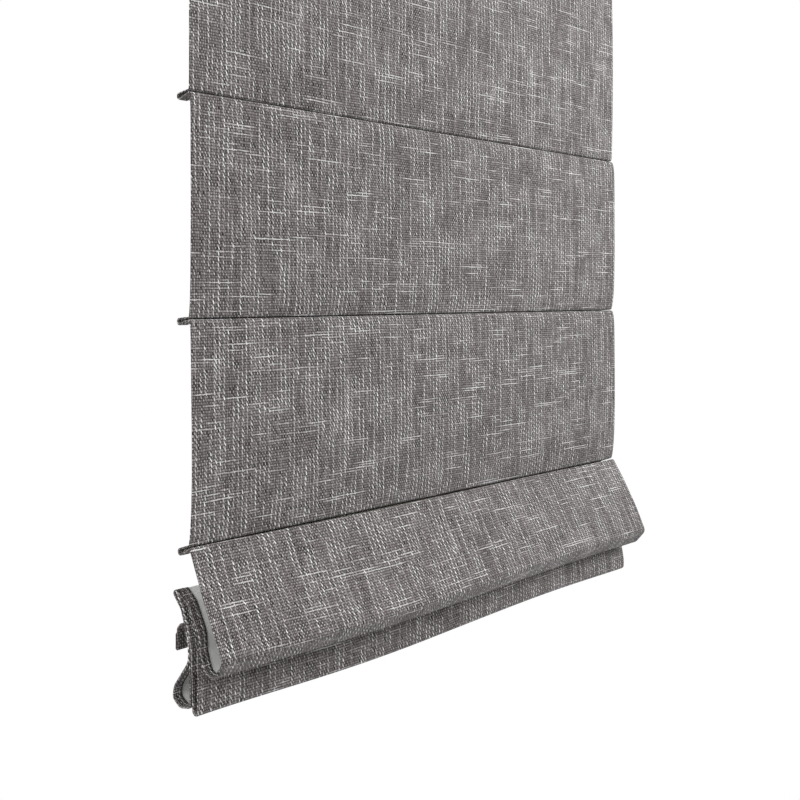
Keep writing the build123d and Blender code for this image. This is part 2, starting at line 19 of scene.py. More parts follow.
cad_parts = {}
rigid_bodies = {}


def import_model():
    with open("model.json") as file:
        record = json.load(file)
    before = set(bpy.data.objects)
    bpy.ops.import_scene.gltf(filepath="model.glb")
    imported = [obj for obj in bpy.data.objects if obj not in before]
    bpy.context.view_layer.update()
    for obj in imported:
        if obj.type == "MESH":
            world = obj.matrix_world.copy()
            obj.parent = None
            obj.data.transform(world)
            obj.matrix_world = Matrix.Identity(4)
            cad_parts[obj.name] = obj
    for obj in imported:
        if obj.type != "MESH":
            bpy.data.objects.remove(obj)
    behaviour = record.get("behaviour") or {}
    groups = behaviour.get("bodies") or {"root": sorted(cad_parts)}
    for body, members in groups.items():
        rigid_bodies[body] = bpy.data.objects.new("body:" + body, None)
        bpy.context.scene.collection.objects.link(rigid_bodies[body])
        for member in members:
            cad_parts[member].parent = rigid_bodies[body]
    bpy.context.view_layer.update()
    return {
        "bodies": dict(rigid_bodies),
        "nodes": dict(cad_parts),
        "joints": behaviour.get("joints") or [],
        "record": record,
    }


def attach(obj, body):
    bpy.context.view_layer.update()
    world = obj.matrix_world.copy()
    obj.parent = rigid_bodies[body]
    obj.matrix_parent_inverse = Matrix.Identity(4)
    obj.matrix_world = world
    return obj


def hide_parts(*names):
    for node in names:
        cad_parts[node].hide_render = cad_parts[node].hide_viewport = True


log = logging.getLogger("roman_blind")

MM = 0.001
SAME_SPOT = 1e-6
TUCK_CORNERS = 4
HANGING_TUCKS = 3


class Loop(IntEnum):
    """The three loops of the raised stack, from the room to the wall."""

    OPEN = 0
    FLAT = 1
    ROUND = 2


@dataclass(frozen=True)
class Corner:
    """A corner of the cloth's side profile.

    Args:
        depth: Millimetres behind the cloth's front face.
        height: Millimetres above the wall screws' middle.
        bend: Radius of the cloth's front face round the corner.
    """

    depth: float
    height: float
    bend: float = 0.0


@dataclass(frozen=True)
class Station:
    """A place on the fold line, with the direction that points behind the cloth there."""

    length: float
    depth: float
    height: float
    behind: tuple[float, float]


@dataclass(frozen=True)
class BlindSizes:
    """The cloth's sizes, the same as those of the solids."""

    width: float = 900.0
    fold_spacing: float = 270.0
    top_panel: float = 323.0
    cloth_top: float = 21.0
    wall_depth: float = 54.35
    face_thickness: float = 0.8
    lining_thickness: float = 0.4
    layer_gap: float = 0.15
    sheet_gap: float = 0.5
    side_hem: float = 12.0
    top_hem: float = 22.0
    crease_bend: float = 3.0
    tuck_depth: float = 20.0
    pocket_radius: float = 2.15
    mouth_gap: float = 0.5
    bar_thickness: float = 2.5
    hem_pocket: float = 26.0
    seam_height: float = 2.0
    seam_closing: float = 2.5

    @property
    def half_width(self) -> float:
        """Half of the blind's width."""
        return self.width / 2

    @property
    def lining_front(self) -> float:
        """Distance from the cloth's front to the lining's front."""
        return self.face_thickness + self.layer_gap

    @property
    def lining_back(self) -> float:
        """Distance from the cloth's front to the lining's back."""
        return self.lining_front + self.lining_thickness

    @property
    def cloth_depth(self) -> float:
        """Thickness of the cloth at its side hems."""
        return self.lining_back + self.layer_gap + self.face_thickness

    @property
    def last_crease(self) -> float:
        """Height of the lowest crease of the hanging panels."""
        return self.cloth_top - self.top_panel - 2 * self.fold_spacing


def point_from(start: tuple[float, float], tilt: float, reach: float) -> tuple[float, float]:
    """A point at a distance from another, its direction tilted by degrees from level."""
    angle = math.radians(tilt)
    return (start[0] + reach * math.cos(angle), start[1] + reach * math.sin(angle))


@dataclass
class FoldLine:
    """The side profile that both sheets follow, from corners with round bends.

    Args:
        sizes: The cloth's sizes.
        corners: The corners, from the top down.
        seams: Number of the first corner of each tuck.
        flap: Number of the corner where the bottom hem's flap starts to hang.
        tip_rounding: Radius of a tuck's tip, as a share of its rod pocket's radius.
    """

    sizes: BlindSizes
    corners: list[Corner] = field(default_factory=list)
    seams: list[int] = field(default_factory=list)
    flap: int = 0
    tip_rounding: float = 0.93

    def add(self, *corners: Corner) -> None:
        """Adds corners to the end of the line."""
        self.corners.extend(corners)

    def below(self, depth: float, share: float, bend: float) -> Corner:
        """A corner of the stack, its drop given as a share of the fold spacing."""
        return Corner(depth, self.sizes.last_crease - share * self.sizes.fold_spacing, bend)

    def tuck(self, mouth: tuple[float, float], tilt: float, reach: float, bend: float) -> None:
        """Adds a tuck: out along its upper flank, round the rod and back below.

        Args:
            mouth: Depth and height of the tuck's seam.
            tilt: Degrees that the tuck rises from level.
            reach: Distance from the mouth to the rod's middle.
            bend: Radius of the cloth where it turns into the tuck.
        """
        size = self.sizes
        along = (math.cos(math.radians(tilt)), math.sin(math.radians(tilt)))
        half_gap = size.mouth_gap / 2
        end = reach + size.pocket_radius
        half_end = half_gap + (size.pocket_radius - half_gap) * end / reach
        tip = (mouth[0] + end * along[0], mouth[1] + end * along[1])
        tip_bend = self.tip_rounding * size.pocket_radius
        self.seams.append(len(self.corners))
        self.add(
            Corner(mouth[0], mouth[1] + half_gap, bend),
            Corner(tip[0] - half_end * along[1], tip[1] + half_end * along[0], tip_bend),
            Corner(tip[0] + half_end * along[1], tip[1] - half_end * along[0], tip_bend),
            Corner(mouth[0], mouth[1] - half_gap, bend),
        )

    def tuck_corners(self, seam: int) -> list[Corner]:
        """The four corners of the tuck that starts at a corner's number."""
        return self.corners[seam : seam + TUCK_CORNERS]

    def stations(self, step: float, arc_step: float) -> list[Station]:
        """Places along the line, close together in the bends.

        Args:
            step: Largest distance between stations on a straight stretch.
            arc_step: Largest turn between stations in a bend, in degrees.

        Returns:
            The stations, from the line's start to its end.
        """
        points: list[tuple[float, float, float, float]] = []
        last = len(self.corners) - 1
        for place, corner in enumerate(self.corners):
            here = Vector((corner.depth, corner.height))
            if place in (0, last):
                other = self.corners[1 if place == 0 else last - 1]
                way = Vector((other.depth, other.height)) - here
                way = way.normalized() * (1 if place == 0 else -1)
                points.append((here.x, here.y, way.x, way.y))
                continue
            before = self.corners[place - 1]
            after = self.corners[place + 1]
            way_in = (here - Vector((before.depth, before.height))).normalized()
            way_out = (Vector((after.depth, after.height)) - here).normalized()
            turn = math.atan2(
                way_in.x * way_out.y - way_in.y * way_out.x,
                way_in.dot(way_out),
            )
            cut = corner.bend * math.tan(abs(turn) / 2)
            start = here - way_in * cut
            side = 1 if turn > 0 else -1
            centre = start + Vector((-way_in.y, way_in.x)) * side * corner.bend
            parts = max(1, math.ceil(math.degrees(abs(turn)) / arc_step))
            for part in range(parts + 1):
                angle = turn * part / parts
                cosine, sine = math.cos(angle), math.sin(angle)
                way = Vector(
                    (way_in.x * cosine - way_in.y * sine, way_in.x * sine + way_in.y * cosine)
                )
                spot = centre - Vector((-way.y, way.x)) * side * corner.bend
                points.append((spot.x, spot.y, way.x, way.y))
        return self._spread(points, step)

    @staticmethod
    def _spread(points: Sequence[tuple[float, float, float, float]], step: float) -> list[Station]:
        """Fills the straight stretches between the bends and measures along the line.

        Args:
            points: Depth, height and direction of each point, from the line's start.
            step: Largest distance between stations.

        Returns:
            The stations.
        """
        result: list[Station] = []
        length = 0.0
        for first, second in zip(points, points[1:]):
            gap = math.dist(first[:2], second[:2])
            parts = max(1, math.ceil(gap / step)) if gap > SAME_SPOT else 0
            for part in range(parts):
                share = part / parts
                result.append(
                    Station(
                        length + gap * share,
                        first[0] + (second[0] - first[0]) * share,
                        first[1] + (second[1] - first[1]) * share,
                        (-first[3], first[2]) if part == 0 else (-second[3], second[2]),
                    )
                )
            length += gap
        depth, height, way_x, way_y = points[-1]
        result.append(Station(length, depth, height, (-way_y, way_x)))
        return result


@dataclass
class BlindProfile:
    """The side profile of the raised blind, as the solids have it.

    A loop's corners are a depth, a drop below the last crease as a share of the fold spacing,
    and a bend. Where the depth comes from elsewhere, only the drop and the bend stand here.
    """

    sizes: BlindSizes
    hanging_tilts: tuple[float, ...] = (-10.0, -10.0, -24.0)
    open_loop: tuple[tuple[float, float, float], ...] = (
        (-29.0, 0.215, 120.0),
        (-67.5, 0.447, 10.0),
        (-49.0, 0.540, 12.0),
        (-28.5, 0.527, 12.0),
        (-18.6, 0.440, 20.0),
        (-18.6, 0.370, 30.0),
    )
    fourth_seam_depth: float = 3.0
    fourth_seam_drop: float = 0.250
    fourth_tilt: float = 27.3
    fifth_tilt: float = 48.6
    next_rod_tilt: float = -17.0
    standing_bend: float = 6.0
    flat_front: float = -18.6
    flat_width: float = 12.3
    flat_shoulder: tuple[float, float] = (0.375, 25.0)
    flat_bottom_drop: float = 0.728
    round_front: float = -1.7
    round_knee: tuple[float, float] = (0.437, 40.0)
    round_low_front: tuple[float, float] = (0.708, 8.0)
    round_rear: tuple[tuple[float, float, float], ...] = (
        (21.0, 0.728, 14.0),
        (37.0, 0.697, 8.0),
        (34.0, 0.640, 20.0),
    )
    neck_start: tuple[float, float] = (0.505, 18.0)
    neck_share: float = 0.62
    neck_bend: float = 5.0
    flap_front: float = 25.0
    flap_drop: float = 0.381
    flap_top_bend: float = 3.0
    flap_slack: float = 0.1
    top_bend: float = 1.0
    pocket_bend: float = 2.0

    @property
    def flap_top(self) -> float:
        """Height where the bottom hem's flap starts to hang."""
        return self.sizes.last_crease - self.flap_drop * self.sizes.fold_spacing

    @property
    def flap_bottom(self) -> float:
        """Height of the blind's bottom edge."""
        return self.flap_top - self.sizes.hem_pocket

    @property
    def flap_back(self) -> float:
        """Depth of the bottom hem's back."""
        size = self.sizes
        return (
            self.flap_front
            + size.lining_back
            + size.bar_thickness
            + 2 * size.layer_gap
            + size.face_thickness
        )

    @property
    def flap_bend(self) -> float:
        """Radius of the turn at the blind's bottom edge."""
        return (self.flap_back - self.flap_front) / 2 - self.flap_slack

    def folds(self, line: FoldLine) -> None:
        """Adds the three hanging tucks, the three loops and the two standing tucks."""
        size = self.sizes
        for number, tilt in enumerate(self.hanging_tilts):
            crease = size.cloth_top - size.top_panel - number * size.fold_spacing
            line.tuck((0.0, crease), tilt, size.crease_bend + size.tuck_depth, size.crease_bend)
        line.add(*(line.below(*corner) for corner in self.open_loop))
        seam_height = size.last_crease - self.fourth_seam_drop * size.fold_spacing
        seam = (self.fourth_seam_depth, seam_height)
        rod = point_from(seam, self.fourth_tilt, size.tuck_depth)
        spread = 2 * (size.pocket_radius + size.cloth_depth) + 2 * size.sheet_gap
        next_rod = point_from(rod, self.next_rod_tilt, spread)
        next_seam = point_from(next_rod, self.fifth_tilt + 180, size.tuck_depth)
        line.tuck(seam, self.fourth_tilt, size.tuck_depth, self.standing_bend)
        front = self.flat_front + size.sheet_gap
        flat_bend = self.flat_width / 2 - size.layer_gap
        line.add(
            line.below(front, *self.flat_shoulder),
            line.below(front, self.flat_bottom_drop, flat_bend),
            line.below(front + self.flat_width, self.flat_bottom_drop, flat_bend),
            line.below(self.round_front - size.sheet_gap, *self.round_knee),
        )
        line.tuck(next_seam, self.fifth_tilt, size.tuck_depth, self.standing_bend)
        self._round_loop(line, next_seam)

    def _round_loop(self, line: FoldLine, seam: tuple[float, float]) -> None:
        """Adds the rearmost loop, whose rear sheet lies on its front one at the neck."""
        size = self.sizes
        knee = line.below(self.round_front, *self.round_knee)
        slope = Vector((seam[0] - knee.depth, seam[1] - knee.height)).normalized()
        apart = 2 * size.cloth_depth + size.sheet_gap
        turn = math.atan2(slope.x, slope.y)
        neck = Corner(
            knee.depth + apart,
            knee.height - apart * math.tan(turn / 2),
            knee.bend - apart,
        )
        run = Vector((seam[0] - knee.depth, seam[1] - knee.height)).length
        run += apart * math.tan(turn / 2)
        reach = self.neck_share * run
        line.add(
            knee,
            line.below(self.round_front, *self.round_low_front),
            *(line.below(*corner) for corner in self.round_rear),
            line.below(neck.depth, *self.neck_start),
            neck,
            Corner(neck.depth + slope.x * reach, neck.height + slope.y * reach, self.neck_bend),
            Corner(self.flap_front, self.flap_top, self.flap_top_bend),
        )
        line.flap = len(line.corners) - 1

    def face_line(self) -> FoldLine:
        """The face cloth's line, from the top hem's back edge to the pocket's seam."""
        size = self.sizes
        line = FoldLine(size)
        line.add(
            Corner(size.cloth_depth, size.cloth_top - size.top_hem),
            Corner(size.cloth_depth, size.cloth_top, self.top_bend),
            Corner(0.0, size.cloth_top, self.top_bend),
        )
        self.folds(line)
        seam_depth = self.flap_front + size.cloth_depth
        closing = self.flap_top - 2 * size.seam_height - size.seam_closing
        line.add(
            Corner(self.flap_front, self.flap_bottom, self.flap_bend),
            Corner(self.flap_back, self.flap_bottom, self.flap_bend),
            Corner(self.flap_back, closing, self.pocket_bend),
            Corner(seam_depth, self.flap_top - 2 * size.seam_height, self.pocket_bend),
            Corner(seam_depth, self.flap_top - size.seam_height),
        )
        return line

    def lining_line(self) -> FoldLine:
        """The lining's line, between the top hem and the bottom hem."""
        size = self.sizes
        line = FoldLine(size)
        line.add(Corner(0.0, size.cloth_top - self.top_bend - size.layer_gap))
        self.folds(line)
        line.add(Corner(self.flap_front, self.flap_bottom + self.flap_bend))
        return line


@dataclass(frozen=True)
class TuckAxis:
    """The middle line of a hanging tuck, from its seam to its tip."""

    mouth: tuple[float, float]
    along: tuple[float, float]
    reach: float
    start: float
    end: float


@dataclass
class Drape:
    """Small departures of the hanging cloth from its flat fold line.

    Both sheets move together, so they stay the same distance apart. Lengths are millimetres,
    and held_reach counts shoulder reaches.
    """

    sizes: BlindSizes
    left_pillow: tuple[float, float, float] = (0.3, 0.2, 2.4)
    right_pillow: tuple[float, float, float] = (2.4, 1.4, 1.4)
    left_skew: float = 1.45
    skew_fall: float = 0.45
    left_shoulder: float = 3.4
    right_shoulder: float = 5.0
    shoulder_reach: float = 8.5
    held_reach: float = 3.0
    hem_shoulder: float = 0.8
    hem_shoulder_reach: float = 8.0
    fade_depth: float = 6.0
    rod_end_margin: float = 8.0
    closed_margin: float = 1.5
    ripple: float = 0.45
    ripple_cell: tuple[float, float] = (170.0, 120.0)
    ripple_seed: float = 3.1
    ripple_gain: float = 1.6
    pucker_width: float = 17.0
    pucker_step: float = 5.0
    pucker_seed: float = 0.4
    pucker_reach: float = 14.0
    pucker_start: float = 3.0
    loop_sag: float = 4.8
    sag_lean: float = 2.8
    loop_swell: float = 2.0
    right_swell: float = 8.0
    loop_front: float = 0.72
    loop_wave: float = 1.2
    loop_wave_width: float = 300.0
    loop_wave_turns: float = 2.2
    loop_wave_seed: float = 7.7
    flat_low: float = 0.47
    flat_reach: float = 0.09

    def panel_push(self, across: float, height: float) -> float:
        """How far a hanging panel stands forward at a place.

        Args:
            across: Place along the width.
            height: Height of the place.

        Returns:
            Millimetres towards the room.
        """
        size = self.sizes
        to_right = across / size.width + 0.5
        shoulder = self.left_shoulder + (self.right_shoulder - self.left_shoulder) * to_right
        skew = self.left_skew - self.skew_fall * to_right
        top = size.cloth_top
        push = 0.0
        for number, (left, right) in enumerate(zip(self.left_pillow, self.right_pillow)):
            bottom = size.cloth_top - size.top_panel - number * size.fold_spacing
            if bottom < height < top:
                share = (top - height) / (top - bottom)
                swell = left + (right - left) * to_right
                push = swell * math.sin(math.pi * share**skew)
                push += self._ripple(across, height, share)
                pucker = self._pucker(across, number)
                for near in (height - bottom, top - height):
                    fading = math.exp(-near / self.pucker_reach)
                    push += pucker * fading * (1 - math.exp(-near / self.pucker_start))
                hem_roll = 1 - math.exp((bottom - height) / self.hem_shoulder_reach)
                push += self.hem_shoulder * hem_roll
                if number:
                    held = math.exp((bottom - height) / (self.held_reach * self.shoulder_reach))
                    rolled = 1 - math.exp((height - top) / self.shoulder_reach)
                    push += shoulder * rolled * (1 - held)
            top = bottom
        return push

    def _ripple(self, across: float, height: float, share: float) -> float:
        """Slow unevenness of a panel, none at its creases."""
        width, drop = self.ripple_cell
        wave = noise.noise(Vector((across / width, height / drop, self.ripple_seed)))
        return self.ripple_gain * self.ripple * wave * math.sin(math.pi * share)

    def _pucker(self, across: float, panel: int) -> float:
        """Height of the small puckers along the creases of a panel."""
        place = Vector((across / self.pucker_width, panel * self.pucker_step, self.pucker_seed))
        return self.ripple * noise.noise(place)

    def pinch(self, across: float) -> float:
        """How far a tuck is closed at a place: 1 at the sides, 0 where its rod lies."""
        rod_end = self.sizes.half_width - self.rod_end_margin
        share = (abs(across) - rod_end) / (self.rod_end_margin - self.closed_margin)
        share = min(max(share, 0.0), 1.0)
        return share * share * (3 - 2 * share)

    def loop_drop(self, across: float, share: float) -> float:
        """How far a loop hangs lower at a place than at the blind's sides.

        Args:
            across: Place along the width.
            share: Place along the loop, 0 and 1 at its seams.

        Returns:
            Millimetres down.
        """
        reach = math.sin(math.pi * min(max(share, 0.0), 1.0)) ** 2
        aside = across / self.sizes.half_width
        return self.loop_sag * reach * (1 - aside**2) ** 2 * (1 - self.sag_lean * aside)

    def loop_push(self, loop: Loop, across: float, share: float) -> float:
        """How far the two front loops stand out, more at the right than at the left.

        Args:
            loop: Which loop.
            across: Place along the width.
            share: Place along the loop, 0 and 1 at its seams.

        Returns:
            Millimetres towards the room.
        """
        if loop is Loop.ROUND:
            return 0.0
        if loop is Loop.FLAT:
            low = math.exp(-(((share - self.flat_low) / self.flat_reach) ** 2))
            return self.right_swell * low * max(across / self.sizes.half_width, 0.0)
        rise = math.sin(math.pi * min(share / self.loop_front, 1.0)) ** 2
        place = (across / self.loop_wave_width, share * self.loop_wave_turns, self.loop_wave_seed)
        wave = noise.noise(Vector(place))
        to_right = across / self.sizes.width + 0.5
        return rise * (self.loop_wave * wave + self.loop_swell + self.right_swell * to_right)


class ClothSheet(ABC):
    """One sheet of cloth, folded from a flat grid."""

    column_step: float = 13.5
    side_parts: int = 4
    station_step: float = 7.0
    bend_step: float = 14.0

    def __init__(
        self,
        name: str,
        line: FoldLine,
        drape: Drape,
        middle: float,
        thickness: float,
    ) -> None:
        """Keeps what the sheet is made from.

        Args:
            name: Name of the piece.
            line: Fold line of the blind's front face.
            drape: Departures from that line.
            middle: Distance behind the line of the sheet's own middle.
            thickness: Thickness of the sheet.
        """
        self.name = name
        self.line = line
        self.drape = drape
        self.middle = middle
        self.thickness = thickness
        self.stations = line.stations(self.station_step, self.bend_step)
        self.loops = self._loop_spans()
        self.tucks = self._tuck_axes()

    def _tuck_axes(self) -> list[TuckAxis]:
        """The middle lines of the three tucks that hang at the panels' ends."""
        size = self.line.sizes
        axes: list[TuckAxis] = []
        for seam in self.line.seams[:HANGING_TUCKS]:
            first, upper, lower, last = self.line.tuck_corners(seam)
            mouth = ((first.depth + last.depth) / 2, (first.height + last.height) / 2)
            tip = Vector(((upper.depth + lower.depth) / 2, (upper.height + lower.height) / 2))
            way = tip - Vector(mouth)
            reach = way.length - size.pocket_radius
            way.normalize()
            axes.append(
                TuckAxis(mouth, (way.x, way.y), reach, self._nearest(first), self._nearest(last))
            )
        return axes

    def closed(self, station: Station, across: float) -> tuple[float, float]:
        """Closes the hanging tucks at the blind's sides, beyond their rods' ends.

        Args:
            station: A place along the fold line.
            across: Where it is along the width.

        Returns:
            Its depth and height afterwards.
        """
        share = self.drape.pinch(across)
        spot = (station.depth, station.height)
        if share == 0.0:
            return spot
        size = self.line.sizes
        for axis in self.tucks:
            if not axis.start <= station.length <= axis.end:
                continue
            from_mouth = (spot[0] - axis.mouth[0], spot[1] - axis.mouth[1])
            run = from_mouth[0] * axis.along[0] + from_mouth[1] * axis.along[1]
            aside = from_mouth[1] * axis.along[0] - from_mouth[0] * axis.along[1]
            half_gap = size.mouth_gap / 2
            room = half_gap + (size.pocket_radius - half_gap) * max(run, 0.0) / axis.reach
            if run <= size.crease_bend:
                return spot
            kept = 1 - share * (1 - half_gap / room)
            return (
                axis.mouth[0] + run * axis.along[0] - aside * kept * axis.along[1],
                axis.mouth[1] + run * axis.along[1] + aside * kept * axis.along[0],
            )
        return spot

    @property
    def length(self) -> float:
        """Length of the sheet along its fold line."""
        return self.stations[-1].length

    def _loop_spans(self) -> list[tuple[float, float]]:
        """The stretches of the fold line that hang as loops, between tuck seams."""
        starts: list[float] = []
        ends: list[float] = []
        for seam in self.line.seams[HANGING_TUCKS - 1 :]:
            first, *_, last = self.line.tuck_corners(seam)
            starts.append(self._nearest(last))
            ends.append(self._nearest(first))
        ends.append(self._nearest(self.line.corners[self.line.flap]))
        return list(zip(starts, ends[1:]))

    def _nearest(self, corner: Corner) -> float:
        """Length along the line at the station nearest to a corner."""
        best = min(
            self.stations,
            key=lambda station: math.dist(
                (station.depth, station.height), (corner.depth, corner.height)
            ),
        )
        return best.length

    @abstractmethod
    def columns(self) -> list[tuple[float, float, float]]:
        """Flat place, folded place and distance behind the line of each grid column."""

    def across(self, edge: float) -> list[float]:
        """Spaces the columns, closer together beyond the rods' ends.

        Args:
            edge: Distance of the outermost columns from the blind's middle.

        Returns:
            Places of the columns, from left to right.
        """
        rod_end = self.line.sizes.half_width - self.drape.rod_end_margin
        count = math.ceil(2 * rod_end / self.column_step)
        even = [rod_end * (2 * n / count - 1) for n in range(count + 1)]
        parts = self.side_parts
        side = [rod_end + (edge - rod_end) * n / parts for n in range(1, parts + 1)]
        return [-place for place in reversed(side)] + even + side

    def place(self, station: Station, across: float, behind: float) -> Vector:
        """Position of a point of the sheet in metres, in the blind's frame.

        Args:
            station: Where the point is along the fold line.
            across: Where it is along the width.
            behind: Its distance behind the blind's front face.

        Returns:
            The position.
        """
        size = self.line.sizes
        depth, height = self.closed(station, across)
        depth += station.behind[0] * behind
        height += station.behind[1] * behind
        if station.height > size.last_crease:
            fade = 1 - min(max(station.depth, 0.0) / self.drape.fade_depth, 1.0)
            depth -= fade * self.drape.panel_push(across, station.height)
        for loop, (start, end) in zip(Loop, self.loops):
            if start < station.length < end:
                share = (station.length - start) / (end - start)
                height -= self.drape.loop_drop(across, share)
                depth -= self.drape.loop_push(loop, across, share)
        return Vector((across, depth - size.wall_depth, height)) * MM

    def build(self) -> bpy.types.Object:
        """Folds the sheet and gives it its thickness.

        Returns:
            The new piece.
        """
        columns = self.columns()
        rows = len(self.stations)
        mesh = bpy.data.meshes.new(self.name)
        bm = bmesh.new()
        bmesh.ops.create_grid(bm, x_segments=len(columns) - 1, y_segments=rows - 1, size=1.0)
        flat_map = bm.loops.layers.uv.new("flat_cloth")
        flat: dict[bmesh.types.BMVert, tuple[float, float]] = {}
        for vert in bm.verts:
            column = round((vert.co.x + 1) / 2 * (len(columns) - 1))
            row = round((1 - vert.co.y) / 2 * (rows - 1))
            flat_across, across, behind = columns[column]
            station = self.stations[row]
            flat[vert] = (flat_across * MM, -station.length * MM)
            vert.co = self.place(station, across, behind)
        for face in bm.faces:
            face.smooth = True
            for loop in face.loops:
                loop[flat_map].uv = flat[loop.vert]
        self.trim(bm, flat)
        bm.to_mesh(mesh)
        bm.free()
        piece = bpy.data.objects.new(self.name, mesh)
        bpy.context.collection.objects.link(piece)
        wall = piece.modifiers.new("thickness", "SOLIDIFY")
        wall.thickness = self.thickness * MM
        wall.offset = 0.0
        wall.use_even_offset = False
        log.info("%s: %d faces", self.name, len(mesh.polygons))
        return piece

    def trim(
        self, bm: bmesh.types.BMesh, flat: dict[bmesh.types.BMVert, tuple[float, float]]
    ) -> None:
        """Cuts away what the flat sheet doesn't have: nothing, unless a sheet says so."""


class FaceCloth(ClothSheet):
    """The patterned cloth, turned to the back along both sides."""

    edge_parts: int = 5
    hem_parts: int = 3
    turned_margin: float = 0.2
    pocket_margin: float = 4.0

    def columns(self) -> list[tuple[float, float, float]]:
        """Columns of the front, the round edges and the side hems behind."""
        size = self.line.sizes
        front = self.middle
        back = size.cloth_depth - front
        turn = (back - front) / 2
        edge = size.half_width - front - turn
        side: list[tuple[float, float, float]] = []
        for part in range(1, self.edge_parts + 1):
            angle = math.pi * part / self.edge_parts
            side.append(
                (
                    edge + turn * angle,
                    edge + turn * math.sin(angle),
                    front + turn * (1 - math.cos(angle)),
                )
            )
        hem = size.side_hem - front - turn
        for part in range(1, self.hem_parts + 1):
            run = hem * part / self.hem_parts
            side.append((edge + turn * math.pi + run, edge - run, back))
        middle = [(place, place, front) for place in self.across(edge)]
        left = [(-flat, -folded, behind) for flat, folded, behind in reversed(side)]
        return left + middle + side

    def trim(
        self, bm: bmesh.types.BMesh, flat: dict[bmesh.types.BMVert, tuple[float, float]]
    ) -> None:
        """Cuts the side hems off where the top and bottom hems are turned over them."""
        size = self.line.sizes
        edge = (size.half_width - self.middle + self.turned_margin) * MM
        top = -(size.top_hem + size.cloth_depth) * MM
        bottom = -(self.length - size.hem_pocket - self.pocket_margin) * MM
        gone = [
            face
            for face in bm.faces
            if all(abs(flat[vert][0]) > edge for vert in face.verts)
            and (
                all(flat[vert][1] > top for vert in face.verts)
                or all(flat[vert][1] < bottom for vert in face.verts)
            )
        ]
        bmesh.ops.delete(bm, geom=gone, context="FACES")


class Lining(ClothSheet):
    """The plain cloth behind the face cloth, tucked into its hems."""

    def columns(self) -> list[tuple[float, float, float]]:
        """Even columns from hem to hem."""
        size = self.line.sizes
        half = size.half_width - size.face_thickness - size.layer_gap
        return [(place, place, self.middle) for place in self.across(half)]


